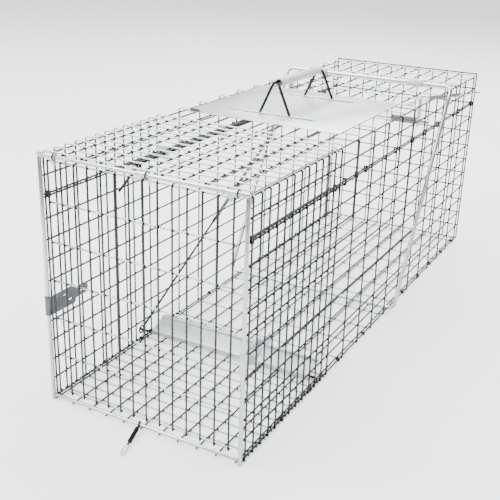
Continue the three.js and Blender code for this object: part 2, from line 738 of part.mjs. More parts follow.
// Rounded clip on a cross bar at the roof's right edge, between the guard plate and the lock rod
function makeRoofClip() {
  const x = halfWidth - clipWidth;
  const y = lengthBars(panelFrontY, panelRearY)[clipBar] - barWidth / 2;
  const low = cageHeight + touchGap;
  const base = block(x - clipWidth / 2, x + clipWidth / 2, y, y + clipLength, low, low + 1.2);
  const beadAt = (end) => [x + end * clipWidth / 2, y + clipLength / 2, low + 1.6];
  const bead = rod(beadAt(-1), beadAt(1), 5);
  const trimmed = cut(bead, block(x - clipWidth, x + clipWidth, y - 5, y + clipLength + 5, low - 8, low));
  addPart('roof_clip', join(base, trimmed), sheetSteel);
}

// Hook that hangs from the front bottom rod: eye, shank, flat tip loop and a coil around the shank
function makeHook(frame) {
  const inner = bottomRod / 2 + 2 * runningGap;
  const outer = inner + hookEyeWall;
  const drop = Math.atan2(hookDrop, hookReach);
  const half = hookWire / 2;
  const eye = ringAcross(-half, half, 0, 0, inner, outer);
  const shank = rod([0, -(inner + hookEyeWall / 2), 0], [0, -hookReach, 0], hookWire);
  const tip = new THREE.Shape();
  const [r, wall] = [hookTipWidth / 2, 2];
  tip.absarc(0, -hookReach - hookTipLength + r, r, Math.PI, 2 * Math.PI, false);
  tip.absarc(0, -hookReach + 1, 2, 0, Math.PI, false);
  const gap = new THREE.Path();
  gap.absarc(0, -hookReach - hookTipLength + r, r - wall, 2 * Math.PI, Math.PI, true);
  gap.absarc(0, -hookReach - r, 0.6, Math.PI, 0, true);
  tip.holes.push(gap);
  const loop = new THREE.ExtrudeGeometry(tip, { depth: 1.6, bevelEnabled: false, curveSegments: 6 });
  loop.translate(0, 0, -0.8);
  const hook = join(eye, shank, loop).rotateX(drop).rotateZ(hookSkew * turn);
  hook.translate(hookX, frame.y, bottomRodHeight);
  addPart('front_hook', hook, springSteel);
  const length = hookReach - outer - 8;
  const coil = ringAcross(-length / 2, length / 2, 0, 0, half + touchGap, half + touchGap + 0.9, roundSides);
  coil.rotateZ(Math.PI / 2).translate(0, -(outer + 2 + length / 2), 0);
  coil.rotateX(drop).rotateZ(hookSkew * turn).translate(hookX, frame.y, bottomRodHeight);
  addPart('hook_coil', coil, springSteel);
}

// Lacing: a wire along each long seam, carrying the ring clips that hold two panels together
function makeSeams() {
  const bars = lengthBars(panelFrontY, panelRearY);
  const middles = bars.slice(1).map((bar, i) => (bar + bars[i]) / 2).filter((_, i) => i % 2 === 0);
  const upper = { low: seamHeight - seamGap / 2 - barWidth, high: seamHeight + seamGap / 2 + barWidth };
  const lower = { low: panelLift, high: panelLift + barWidth };
  for (const [side, name] of [[-1, 'left'], [1, 'right']]) {
    for (const [seam, level] of [[upper, 'upper'], [lower, 'lower']]) {
      const x0 = wallInner - ringSpare;
      const x1 = halfWidth + ringSpare;
      const rings = middles.filter(clearOfPivot).map((y) => seamRing(side, x0, x1, seam, y));
      const wireX = side * (x1 + ringSheet / 2);
      const wireZ = (seam.low + seam.high) / 2;
      const lace = rod([wireX, middles[0], wireZ], [wireX, middles[middles.length - 1], wireZ], ringSheet, 6);
      addPart(`seam_lacing_${level}_${name}`, join(lace, ...rings), darkWire);
    }
  }
}

// No ring stands where the lever's pivot rod passes through the wall
function clearOfPivot(y) {
  return Math.abs(y - leverPivotY) > leverRod / 2 + ringLength;
}

function seamRing(side, x0, x1, seam, y) {
  const [z0, z1] = [seam.low - ringSpare, seam.high + ringSpare];
  const [left, right] = side > 0 ? [x0, x1] : [-x1, -x0];
  const half = ringLength / 2;
  const [x0Out, x1Out] = [left - ringSheet, right + ringSheet];
  const outer = block(x0Out, x1Out, y - half, y + half, z0 - ringSheet, z1 + ringSheet);
  return cut(outer, block(left, right, y - ringLength, y + ringLength, z0, z1));
}

makeRoof();
makeWall(-1, 'left');
makeWall(1, 'right');
makeFloorAndRear();
const frame = makeFrontFrame();
makeDoor(frame);
makeTabs();
makeLever();
makeTreadle();
makeTripRod();
const crankTip = makeRocker();
const linkPin = makePullRod(crankTip);
makeDoorLink(linkPin);
makeGuardPlate();
makeHandle();
makeLockRod();
makeRoofClip();
makeHook(frame);
makeSeams();

export default trap;
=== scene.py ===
import json
import math
import bmesh
import bpy
from mathutils import Matrix, Vector

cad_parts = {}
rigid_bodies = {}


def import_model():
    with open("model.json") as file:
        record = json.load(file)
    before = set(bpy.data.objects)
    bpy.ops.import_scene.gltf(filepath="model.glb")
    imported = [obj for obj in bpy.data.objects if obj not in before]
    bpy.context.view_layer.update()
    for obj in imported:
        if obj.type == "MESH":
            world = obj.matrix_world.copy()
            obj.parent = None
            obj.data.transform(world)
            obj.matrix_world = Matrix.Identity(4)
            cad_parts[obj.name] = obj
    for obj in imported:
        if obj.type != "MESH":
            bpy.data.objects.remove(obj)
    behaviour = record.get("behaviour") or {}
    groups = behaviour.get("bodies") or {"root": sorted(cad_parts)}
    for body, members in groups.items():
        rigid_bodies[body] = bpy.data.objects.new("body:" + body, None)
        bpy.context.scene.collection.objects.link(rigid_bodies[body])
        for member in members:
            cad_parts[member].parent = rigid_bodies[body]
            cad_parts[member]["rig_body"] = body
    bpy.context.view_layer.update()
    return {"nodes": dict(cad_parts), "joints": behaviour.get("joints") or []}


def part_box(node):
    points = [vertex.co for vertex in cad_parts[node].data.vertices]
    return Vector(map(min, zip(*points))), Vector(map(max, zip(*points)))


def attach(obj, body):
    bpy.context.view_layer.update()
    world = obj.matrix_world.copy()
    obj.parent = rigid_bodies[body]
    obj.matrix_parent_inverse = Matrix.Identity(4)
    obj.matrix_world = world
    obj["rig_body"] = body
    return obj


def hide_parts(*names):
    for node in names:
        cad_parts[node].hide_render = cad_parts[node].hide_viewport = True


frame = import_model()

# driving places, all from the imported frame
rearLow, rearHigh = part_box("rear_panel")
rear = rearHigh.y
front = -rear
halfWidth = rearHigh.x
height = rearHigh.z
wire = (rearHigh.y - rearLow.y) / 2          # one layer of the welded mesh
mm = 0.001
flanks = ((-1, "left"), (1, "right"))


def fromFront(distance):
    return front + distance


def deselectAll():
    if bpy.context.object is not None and bpy.context.object.mode != "OBJECT":
        bpy.ops.object.mode_set(mode="OBJECT")
    bpy.ops.object.select_all(action="DESELECT")


def makeActive(piece):
    deselectAll()
    piece.select_set(True)
    bpy.context.view_layer.objects.active = piece


def freeze(piece):
    makeActive(piece)
    bpy.ops.object.transform_apply(location=True, rotation=True, scale=True)
    return piece


def selectFaces(piece, test):
    # edit mode, face select, only the faces that pass the test
    bpy.ops.mesh.select_mode(type="FACE")
    bpy.ops.mesh.select_all(action="DESELECT")
    shape = bmesh.from_edit_mesh(piece.data)
    for face in shape.faces:
        face.select_set(bool(test(face)))
    shape.select_flush_mode()
    bmesh.update_edit_mesh(piece.data)


def aim(direction):
    return Vector(direction).to_track_quat("Z", "Y").to_euler()


def openCylinder(start, end, radius, count):
    # a cylinder between two places, in edit mode with its two end faces selected
    along = end - start
    deselectAll()
    bpy.ops.mesh.primitive_cylinder_add(vertices=count, radius=radius, depth=along.length,
                                        location=(start + end) / 2, rotation=aim(along))
    piece = bpy.context.object
    bpy.ops.object.mode_set(mode="EDIT")
    selectFaces(piece, lambda face: abs(face.normal.z) > 0.9)
    return piece


def straightWire(start, end, diameter, sides=10, endBevel=0.3):
    # a cut length of wire with its ends broken
    piece = openCylinder(Vector(start), Vector(end), diameter / 2, sides)
    bpy.ops.mesh.bevel(offset=diameter * endBevel, segments=2, affect="EDGES")
    bpy.ops.object.mode_set(mode="OBJECT")
    return freeze(piece)


def cornersOf(points, closed):
    # a closed path starts and ends in the middle of its first side
    corners = [Vector(point) for point in points]
    if closed:
        middle = (corners[0] + corners[1]) / 2
        corners = [middle] + corners[1:] + [corners[0], middle]
    return corners


def pushAlong(corners, bend, bendSteps):
    # extrudes what is selected along each straight and spins it round each corner
    here, heading = corners[0], (corners[1] - corners[0]).normalized()
    for index in range(1, len(corners) - 1):
        corner = corners[index]
        nextHeading = (corners[index + 1] - corner).normalized()
        angle = heading.angle(nextHeading)
        setback = bend * math.tan(angle / 2)
        bendStart = corner - heading * setback
        bpy.ops.mesh.extrude_region_move(TRANSFORM_OT_translate={"value": bendStart - here})
        inward = (nextHeading - heading * nextHeading.dot(heading)).normalized()
        bpy.ops.mesh.spin(steps=max(2, round(bendSteps * angle / (math.pi / 2))), angle=-angle,
                          center=bendStart + inward * bend, axis=heading.cross(nextHeading).normalized())
        here, heading = corner + nextHeading * setback, nextHeading
    bpy.ops.mesh.extrude_region_move(TRANSFORM_OT_translate={"value": corners[-1] - here})
    return heading


def bentWire(points, bend, diameter, sides=10, bendSteps=6, closed=False, endBevel=0.3):
    # a wire that is pushed out straight and rolled round each corner
    corners = cornersOf(points, closed)
    firstHeading = (corners[1] - corners[0]).normalized()
    deselectAll()
    bpy.ops.mesh.primitive_circle_add(vertices=sides, radius=diameter / 2, fill_type="NOTHING",
                                      location=corners[0], rotation=aim(firstHeading))
    piece = freeze(bpy.context.object)
    bpy.ops.object.mode_set(mode="EDIT")
    bpy.ops.mesh.select_mode(type="EDGE")        # a bare ring can't be pushed out in face mode
    bpy.ops.mesh.select_all(action="SELECT")
    heading = pushAlong(corners, bend, bendSteps)
    bpy.ops.mesh.select_all(action="SELECT")
    bpy.ops.mesh.remove_doubles(threshold=diameter / 50)
    if not closed:
        bpy.ops.mesh.fill_holes(sides=0)
    bpy.ops.mesh.select_all(action="SELECT")
    bpy.ops.mesh.normals_make_consistent(inside=False)
    if not closed:
        ends = [(corners[0], firstHeading), (corners[-1], heading)]
        selectFaces(piece, lambda face: any(
            (face.calc_center_median() - place).length < diameter / 10 and abs(face.normal.dot(way)) > 0.9
            for place, way in ends))
        bpy.ops.mesh.bevel(offset=diameter * endBevel, segments=2, affect="EDGES")
    bpy.ops.object.mode_set(mode="OBJECT")
    return piece


def wireEye(centre, along, side, radius, gauge, sides=10, bendSteps=6):
    # a round eye rolled from four bends
    path = [centre + along * radius + side * radius, centre - along * radius + side * radius,
            centre - along * radius - side * radius, centre + along * radius - side * radius]
    return bentWire(path, radius * 0.99, gauge, sides, bendSteps, closed=True)


def eyedRod(centre, end, eyeRadius, eyeWire, gauge):
    # a straight rod with an eye at its start, and the two directions in the plane of the eye
    along = (end - centre).normalized()
    side = along.cross(Vector((1, 0, 0)))
    ring = wireEye(centre, along, side, eyeRadius, eyeWire)
    stem = straightWire(centre + along * eyeRadius, end, gauge)
    return joined([ring, stem]), along, side


def applyModifier(piece, kind, **settings):
    makeActive(piece)
    bpy.ops.object.modifier_add(type=kind)
    change = piece.modifiers[-1]
    for name, value in settings.items():
        setattr(change, name, value)
    bpy.ops.object.modifier_apply(modifier=change.name)
    return piece


def rowOf(piece, step, count):
    return applyModifier(piece, "ARRAY", use_relative_offset=False, use_constant_offset=True,
                         constant_offset_displace=Vector(step), count=count)


def copyOf(piece, move=(0, 0, 0)):
    twin = piece.copy()
    twin.data = piece.data.copy()
    bpy.context.scene.collection.objects.link(twin)
    twin.location = Vector(move)
    return freeze(twin)


def joined(parts):
    deselectAll()
    for part in parts:
        part.select_set(True)
    bpy.context.view_layer.objects.active = parts[0]
    if len(parts) > 1:
        bpy.ops.object.join()
    return bpy.context.object


def smooth(piece, degrees=40):
    makeActive(piece)
    bpy.ops.object.shade_smooth_by_angle(angle=math.radians(degrees))
    return piece


def finishPiece(piece, name, body, nodes, materialKey):
    smooth(piece)
    piece.name = name
    piece.data.name = name
    piece.data.materials.clear()
    piece.data.materials.append(materials[materialKey])
    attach(piece, body)
    if nodes:
        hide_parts(*nodes)


def finishNode(piece, node, materialKey):
    # a piece that stands for one solid takes its name and its body from it
    first, *others = node.split("_")
    name = first + "".join(word.capitalize() for word in others)
    finishPiece(piece, name, frame["nodes"][node]["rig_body"], (node,), materialKey)


def fillInputs(node, inputs):
    for name, value in inputs.items():
        node.inputs[name].default_value = value
    return node


def addNode(tree, kind, inputs=None, **settings):
    # a shader node with its settings made and its inputs filled in
    node = tree.nodes.new("ShaderNode" + kind)
    for name, value in settings.items():
        setattr(node, name, value)
    return fillInputs(node, inputs or {})


def connect(tree, *rows):
    # each row gives a node and its output, then a node and its input
    for start, output, end, entry in rows:
        tree.links.new(start.outputs[output], end.inputs[entry])


def newGroup(name, inputs, outputs):
    group = bpy.data.node_groups.new(name, "ShaderNodeTree")
    for label, value in inputs.items():
        socket = group.interface.new_socket(name=label, in_out="INPUT", socket_type="NodeSocketFloat")
        socket.default_value = value
    for label in outputs:
        group.interface.new_socket(name=label, in_out="OUTPUT", socket_type="NodeSocketFloat")
    return group, group.nodes.new("NodeGroupInput"), group.nodes.new("NodeGroupOutput")


def makeSpangleGroup():
    # zinc crystals and cloudy patches: a tone and a roughness that change over the surface
    sizes = {"Crystal size": 900.0, "Cloud size": 60.0}
    group, enter, leave = newGroup("zincSpangle", sizes, ("Tone", "Cloud"))
    place = addNode(group, "TexCoord")
    crystals = addNode(group, "TexVoronoi", feature="F1")
    cloud = addNode(group, "TexNoise", {"Detail": 4.0})
    shade = addNode(group, "SeparateColor")
    connect(group,
            (place, "Object", crystals, "Vector"), (enter, "Crystal size", crystals, "Scale"),
            (place, "Object", cloud, "Vector"), (enter, "Cloud size", cloud, "Scale"),
            (crystals, "Color", shade, "Color"), (shade, "Red", leave, "Tone"),
            (cloud, "Fac", leave, "Cloud"))
    return group


def makeGrimeAndUnderShadeGroup():
    # small dark specks of dirt and a painted shade on the undersides, as a mask from 0 to 1
    sizes = {"Speck size": 260.0, "Speck amount": 0.35, "Painted underside shade": 0.5}
    group, enter, leave = newGroup("grime", sizes, ("Mask",))
    place = addNode(group, "TexCoord")
    specks = addNode(group, "TexNoise", {"Detail": 5.0, "Roughness": 0.7})
    ramp = addNode(group, "MapRange", {"From Min": 0.58, "From Max": 0.72})
    shape = addNode(group, "NewGeometry")
    split = addNode(group, "SeparateXYZ")
    # faces turned downwards are darkened: painted shade on the undersides
    under = addNode(group, "MapRange", {"From Min": 0.2, "From Max": -0.9})
    amount = addNode(group, "Math", operation="MULTIPLY")
    below = addNode(group, "Math", operation="MULTIPLY")
    total = addNode(group, "Math", operation="ADD", use_clamp=True)
    connect(group,
            (place, "Object", specks, "Vector"), (enter, "Speck size", specks, "Scale"),
            (specks, "Fac", ramp, "Value"), (ramp, "Result", amount, 0),
            (enter, "Speck amount", amount, 1), (amount, 0, total, 0),
            (shape, "Normal", split, "Vector"), (split, "Z", under, "Value"),
            (under, "Result", below, 0), (enter, "Painted underside shade", below, 1), (below, 0, total, 1),
            (total, 0, leave, "Mask"))
    return group


spangleGroup = makeSpangleGroup()
grimeAndUnderShadeGroup = makeGrimeAndUnderShadeGroup()


bumpDepth = 0.0002


def metalFinish(name, plan):
    # bare or zinc-coated steel: two tones mixed by crystals and clouds, darkened by dirt specks and by a
    # painted shade on the undersides
    material = bpy.data.materials.new(name)
    material.use_nodes = True
    tree = material.node_tree
    surface = fillInputs(tree.nodes["Principled BSDF"], {"Metallic": plan.get("metallic", 1.0)})
    spangleSizes = {"Crystal size": plan["crystals"], "Cloud size": plan["clouds"]}
    grimeAndUnderShadeSizes = {"Speck size": plan["specks"], "Speck amount": plan["speckAmount"],
                  "Painted underside shade": plan["underside"]}
    spangle = addNode(tree, "Group", spangleSizes, node_tree=spangleGroup)
    grime = addNode(tree, "Group", grimeAndUnderShadeSizes, node_tree=grimeAndUnderShadeGroup)
    blend = addNode(tree, "Math", {1: 0.5}, operation="MULTIPLY_ADD")
    half = addNode(tree, "Math", {1: 0.5}, operation="MULTIPLY")
    tones = addNode(tree, "Mix", {"A": (*plan["deep"], 1), "B": (*plan["light"], 1)}, data_type="RGBA")
    # the dark mix colour stands for dirt specks and for painted shade on the undersides
    dirtAndShadeMix = addNode(tree, "Mix", {"B": (*plan["dirt"], 1)}, data_type="RGBA")
    rough = addNode(tree, "MapRange", {"To Min": plan["rough"][0], "To Max": plan["rough"][1]})
    bump = addNode(tree, "Bump", {"Strength": plan["bump"], "Distance": bumpDepth})
    connect(tree,
            (spangle, "Tone", blend, 0), (spangle, "Cloud", half, 0), (half, 0, blend, 2),
            (blend, 0, tones, "Factor"), (tones, "Result", dirtAndShadeMix, "A"),
            (grime, "Mask", dirtAndShadeMix, "Factor"), (dirtAndShadeMix, "Result", surface, "Base Color"),
            (spangle, "Cloud", rough, "Value"), (rough, "Result", surface, "Roughness"),
            (blend, 0, bump, "Height"), (bump, "Normal", surface, "Normal"))
    return material


finishes = {
    # the two zinc tones below are one galvanised wire: the light one is painted light for the wires lying
    # across, the dark one is painted shade for the uprights, legs and long wires
    "zincPaintedLit": {"deep": (0.74, 0.75, 0.76), "light": (0.95, 0.955, 0.96), "dirt": (0.3, 0.3, 0.3),
                  "crystals": 700, "clouds": 90, "specks": 300, "speckAmount": 0.35, "underside": 0.75,
                  "rough": (0.28, 0.5), "bump": 0.25},
    "zincPaintedShade": {"deep": (0.035, 0.036, 0.038), "light": (0.13, 0.132, 0.135), "dirt": (0.015, 0.015, 0.015),
                 "crystals": 700, "clouds": 90, "specks": 300, "speckAmount": 0.4, "underside": 0.5,
                 "rough": (0.3, 0.5), "bump": 0.25},
    "weldScale": {"deep": (0.012, 0.012, 0.012), "light": (0.05, 0.05, 0.05), "dirt": (0.008, 0.008, 0.008),
                  "crystals": 900, "clouds": 150, "specks": 500, "speckAmount": 0.4, "underside": 0.3,
                  "rough": (0.5, 0.7), "bump": 0.5},
    "brightRod": {"deep": (0.78, 0.79, 0.8), "light": (0.96, 0.965, 0.97), "dirt": (0.35, 0.35, 0.35),
                  "crystals": 500, "clouds": 40, "specks": 220, "speckAmount": 0.25, "underside": 0.6,
                  "rough": (0.18, 0.38), "bump": 0.12},
    "darkWire": {"deep": (0.02, 0.02, 0.021), "light": (0.08, 0.08, 0.082), "dirt": (0.01, 0.01, 0.01),
                 "crystals": 600, "clouds": 70, "specks": 260, "speckAmount": 0.4, "underside": 0.3,
                 "rough": (0.35, 0.55), "bump": 0.25},
    "springSteel": {"deep": (0.02, 0.02, 0.021), "light": (0.08, 0.08, 0.083), "dirt": (0.01, 0.01, 0.01),
                    "crystals": 500, "clouds": 60, "specks": 240, "speckAmount": 0.3, "underside": 0.3,
                    "rough": (0.25, 0.45), "bump": 0.15},
    "sheet": {"deep": (0.84, 0.85, 0.86), "light": (0.97, 0.972, 0.975), "dirt": (0.5, 0.5, 0.5),
              "crystals": 130, "clouds": 25, "specks": 120, "speckAmount": 0.15, "underside": 0.4,
              "rough": (0.38, 0.55), "bump": 0.1},
    "tab": {"deep": (0.12, 0.12, 0.125), "light": (0.3, 0.3, 0.31), "dirt": (0.05, 0.05, 0.05),
            "crystals": 150, "clouds": 60, "specks": 200, "speckAmount": 0.3, "underside": 0.3,
            "rough": (0.3, 0.5), "bump": 0.1},
    "latchSteel": {"deep": (0.2, 0.2, 0.2), "light": (0.4, 0.4, 0.4), "dirt": (0.08, 0.08, 0.08),
                   "crystals": 200, "clouds": 50, "specks": 200, "speckAmount": 0.3, "underside": 0.3,
                   "rough": (0.3, 0.5), "bump": 0.1},
    "plastic": {"metallic": 0.0, "deep": (0.78, 0.78, 0.77), "light": (0.9, 0.9, 0.89),
                "dirt": (0.45, 0.44, 0.42), "crystals": 60, "clouds": 30, "specks": 160,
                "speckAmount": 0.25, "underside": 0.2, "rough": (0.42, 0.55), "bump": 0.08},
}
materials = {name: metalFinish(name, plan) for name, plan in finishes.items()}
print("materials made")

meshPlan = {
    "closeFirst": 10.2 * mm,      # first cross wire behind the front face
    "closeStep": 17.75 * mm,
    "closeCount": 13,
    "wideCells": 11,
    "wideEnd": 18 * mm,           # last cross wire ahead of the rear face
    "cells": 10,                  # long wires stand in ten cells across the roof and up each wall
    "overhang": 0.4 * mm,         # wire ends past the last crossing
    "weldSize": 1.35,             # weld nugget, in wire diameters
    "weldSpread": 1.25, "weldSqueeze": 0.8,
    "roofBend": 3.2 * mm, "sheetEnd": 0.05,      # how far the ends of the bent wires are broken, in diameters
    "floorReach": 7.5 * mm,       # long floor wires run on under the front bottom rod
}
closeStart = fromFront(meshPlan["closeFirst"])
wideStart = closeStart + (meshPlan["closeCount"] - 1) * meshPlan["closeStep"]
wideStep = (rear - meshPlan["wideEnd"] - wideStart) / meshPlan["wideCells"]
panelFront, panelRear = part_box("side_panel_right")[0].y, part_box("side_panel_right")[1].y


def alongRows(model):
    # copies a cross wire or a row of welds to every cross place along the cage
    wide = copyOf(model, (0, wideStart + wideStep - closeStart, 0))
    close = rowOf(model, (0, meshPlan["closeStep"], 0), meshPlan["closeCount"])
    return [close, rowOf(wide, (0, wideStep, 0), meshPlan["wideCells"])]


def weld(place, flat):
    # a low squeezed lump where two wires cross, flattened along one axis
    deselectAll()
    bpy.ops.mesh.primitive_ico_sphere_add(subdivisions=1, radius=wire * meshPlan["weldSize"] / 2,
                                          location=place)
    lump = bpy.context.object
    bpy.ops.object.mode_set(mode="EDIT")
    squeeze = [meshPlan["weldSpread"]] * 3
    squeeze[flat] = meshPlan["weldSqueeze"]
    bpy.ops.transform.resize(value=squeeze)
    bpy.ops.object.mode_set(mode="OBJECT")
    return freeze(lump)


def meshPieces(name, body, nodes, crossWires, longWires, welds, crossPaintedTone, longPaintedTone):
    # one panel is three pieces: the wires each way and the welds between them
    # the wires each way take the light and dark zinc tones, which are painted light and painted shade; the
    # welds take their own scale colour
    finishPiece(joined(crossWires), name + "CrossWires", body, nodes, crossPaintedTone)
    finishPiece(joined(longWires), name + "LongWires", body, nodes, longPaintedTone)
    finishPiece(joined(welds), name + "Welds", body, nodes, "weldScale")


def makeTopSheet():
    # roof and upper strips in one sheet, bent down over both long edges
    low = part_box("upper_strip_right")[0].z
    outside, top = halfWidth - wire / 2, height - wire / 2
    inner, under = halfWidth - 1.5 * wire, height - 1.5 * wire
    legTop = top - meshPlan["roofBend"] - wire
    path = [(-outside, closeStart, legTop), (-outside, closeStart, top), (outside, closeStart, top),
            (outside, closeStart, legTop)]
    cross = alongRows(bentWire(path, meshPlan["roofBend"], wire, endBevel=meshPlan["sheetEnd"]))
    legs = []
    step, count = 2 * inner / meshPlan["cells"], meshPlan["cells"] - 1
    first = -inner + step
    roofWire = straightWire((first, panelFront, under), (first, panelRear, under), wire)
    longWires = [rowOf(roofWire, (step, 0, 0), count)]
    welds = alongRows(rowOf(weld((first, closeStart, height - wire), 2), (step, 0, 0), count))
    highest, lowest = under - 1.5 * wire, low + wire / 2
    levels = [highest, (highest + lowest) / 2, lowest]
    for side in (-1, 1):
        x = side * outside
        leg = straightWire((x, closeStart, low), (x, closeStart, legTop), wire, endBevel=meshPlan["sheetEnd"])
        legs += alongRows(leg)
        x = side * inner
        for level in levels:
            longWires.append(straightWire((x, panelFront, level), (x, panelRear, level), wire))
            welds += alongRows(weld((side * (halfWidth - wire), closeStart, level), 0))
    sheetNodes = ("roof_panel", "upper_strip_left", "upper_strip_right")
    # the legs of the bent cross wires take the dark zinc tone as painted shade, and the roof part takes the
    # light tone as painted light; the long wires take the painted shade
    finishPiece(joined(legs), "topSheetSideWires", "cage", sheetNodes, "zincPaintedShade")
    meshPieces("topSheet", "cage", sheetNodes, cross, longWires, welds, "zincPaintedLit", "zincPaintedShade")


def makeWalls():
    for side, name in flanks:
        low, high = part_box("side_panel_" + name)
        outer, inner = side * (halfWidth - wire / 2), side * (halfWidth - 1.5 * wire)
        cross = alongRows(straightWire((outer, closeStart, low.z), (outer, closeStart, high.z), wire))
        first = low.z + meshPlan["overhang"] + wire / 2
        step = (high.z - meshPlan["overhang"] - wire / 2 - first) / meshPlan["cells"]
        levelWire = straightWire((inner, low.y, first), (inner, high.y, first), wire)
        longWires = [rowOf(levelWire, (0, 0, step), meshPlan["cells"] + 1)]
        nugget = weld((side * (halfWidth - wire), closeStart, first), 0)
        welds = alongRows(rowOf(nugget, (0, 0, step), meshPlan["cells"] + 1))
        # the walls' wires both ways take the dark zinc tone, painted shade
        meshPieces(name + "Wall", "cage", ("side_panel_" + name,), cross, longWires, welds,
                   "zincPaintedShade", "zincPaintedShade")


def makeFloor():
    low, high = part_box("floor_panel")
    below, above = low.z + wire / 2, low.z + 1.5 * wire
    cross = alongRows(straightWire((low.x, closeStart, below), (high.x, closeStart, below), wire))
    first = low.x + meshPlan["overhang"] + wire / 2
    step = -2 * first / meshPlan["cells"]
    longWire = straightWire((first, low.y - meshPlan["floorReach"], above), (first, high.y, above), wire)
    longWires = [rowOf(longWire, (step, 0, 0), meshPlan["cells"] + 1)]
    nugget = weld((first, closeStart, low.z + wire), 2)
    welds = alongRows(rowOf(nugget, (step, 0, 0), meshPlan["cells"] + 1))
    # the floor's cross wires take the light zinc tone as painted light, and its long wires take the dark tone
    # as painted shade
    meshPieces("floor", "cage", ("floor_panel",), cross, longWires, welds, "zincPaintedLit", "zincPaintedShade")


def makeGrid(name, body, nodes, low, high, countX, countZ, uprightY, levelY, over, paintedTonesUsed):
    # an upright panel across the cage: verticals in one layer, level wires in the other
    x0 = low.x + over + wire / 2
    stepX = (high.x - over - wire / 2 - x0) / (countX - 1)
    z0 = low.z + over + wire / 2
    stepZ = (high.z - wire / 2 - z0) / (countZ - 1)
    upright = straightWire((x0, uprightY, low.z), (x0, uprightY, high.z), wire)
    uprights = [rowOf(upright, (stepX, 0, 0), countX)]
    level = straightWire((low.x, levelY, z0), (high.x, levelY, z0), wire)
    levels = [rowOf(level, (0, 0, stepZ), countZ)]
    nugget = weld((x0, (uprightY + levelY) / 2, z0), 1)
    welds = [rowOf(rowOf(nugget, (stepX, 0, 0), countX), (0, 0, stepZ), countZ)]
    # the level wires and the uprights take the zinc tones given, which are painted light and painted shade
    meshPieces(name, body, nodes, levels, uprights, welds, *paintedTonesUsed)


rearPlan = {"uprights": 11, "levels": 13}
doorPlan = {"uprights": 14, "levels": 7, "overhang": 1.2 * mm, "rightGap": 10 * mm}


def makeRearAndDoor():
    # the rear panel's wires both ways take the dark zinc tone, painted shade
    makeGrid("rearPanel", "cage", ("rear_panel",), rearLow, rearHigh,
             rearPlan["uprights"], rearPlan["levels"], rear - wire / 2, rear - 1.5 * wire,
             meshPlan["overhang"], ("zincPaintedShade", "zincPaintedShade"))
    low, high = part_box("door_panel")
    high.x -= doorPlan["rightGap"]
    # the door's level wires take the light zinc tone as painted light, and its uprights take the dark tone as
    # painted shade
    makeGrid("door", "door", ("door_panel",), low, high, doorPlan["uprights"], doorPlan["levels"],
             low.y + wire / 2, high.y - wire / 2, doorPlan["overhang"], ("zincPaintedLit", "zincPaintedShade"))


makeTopSheet()
makeWalls()
makeFloor()
makeRearAndDoor()
print("wire mesh made")


def bentStrip(points, bend, width, thickness, across=(1, 0, 0), bendSteps=6, closed=False, live=False):
    # a sheet strip pushed out from one edge and rolled round each corner, then given its thickness
    corners = cornersOf(points, closed)
    heading = (corners[1] - corners[0]).normalized()
    across = Vector(across).normalized()
    deselectAll()
    bpy.ops.mesh.primitive_plane_add(size=width)
    piece = bpy.context.object
    upright = heading.cross(across)
    turn = Matrix((across, heading, upright)).transposed().to_4x4()
    piece.matrix_world = Matrix.Translation(corners[0]) @ turn
    freeze(piece)
    bpy.ops.object.mode_set(mode="EDIT")
    shape = bmesh.from_edit_mesh(piece.data)
    bpy.ops.mesh.select_mode(type="VERT")
    bpy.ops.mesh.select_all(action="DESELECT")
    for point in shape.verts:
        point.select_set((point.co - corners[0]).dot(heading) < 0)
    bmesh.update_edit_mesh(piece.data)
    bpy.ops.mesh.delete(type="VERT")
    bpy.ops.mesh.select_all(action="SELECT")
    bpy.ops.transform.translate(value=-heading * width / 2)
    pushAlong(corners, bend, bendSteps)
    if live:
        return piece
    return thicken(piece, thickness)


def thicken(piece, thickness, soften=0.3):
    # merges the sheet, gives it its thickness about its middle and breaks the edges
    if piece.mode == "EDIT":
        bpy.ops.mesh.select_all(action="SELECT")
        bpy.ops.mesh.remove_doubles(threshold=thickness / 20)
        bpy.ops.mesh.normals_make_consistent(inside=False)
        bpy.ops.object.mode_set(mode="OBJECT")
    applyModifier(piece, "SOLIDIFY", thickness=thickness, offset=0, use_even_offset=True)
    return breakEdges(piece, thickness * soften)


def breakEdges(piece, width, segments=2, degrees=40):
    return applyModifier(piece, "BEVEL", width=width, segments=segments, angle_limit=math.radians(degrees))


def tube(start, end, inner, outer, sides=20):
    # a cylinder whose ends are inset and bridged through, so that it is bored
    start, end = Vector(start), Vector(end)
    piece = openCylinder(start, end, outer, sides)
    bpy.ops.mesh.inset(thickness=outer - inner)
    bpy.ops.mesh.bridge_edge_loops()
    bpy.ops.object.mode_set(mode="OBJECT")
    freeze(piece)
    return breakEdges(piece, min(outer - inner, (end - start).length) * 0.2)


def coil(start, end, radius, turns, gauge, sides=8, steps=16):
    # a wire section screwed along its axis, then laid between its two ends
    start, end = Vector(start), Vector(end)
    along = end - start
    deselectAll()
    bpy.ops.mesh.primitive_circle_add(vertices=sides, radius=gauge / 2, fill_type="NOTHING",
                                      location=(radius, 0, 0), rotation=(math.pi / 2, 0, 0))
    piece = freeze(bpy.context.object)
    applyModifier(piece, "SCREW", axis="Z", angle=math.tau, iterations=turns, steps=steps, render_steps=steps,
                  screw_offset=(along.length - gauge) / turns)
    bpy.ops.object.mode_set(mode="EDIT")
    bpy.ops.mesh.select_all(action="SELECT")
    bpy.ops.mesh.fill_holes(sides=0)
    bpy.ops.mesh.normals_make_consistent(inside=False)
    bpy.ops.object.mode_set(mode="OBJECT")
    piece.rotation_euler = aim(along)
    piece.location = start + along.normalized() * gauge / 2
    return freeze(piece)


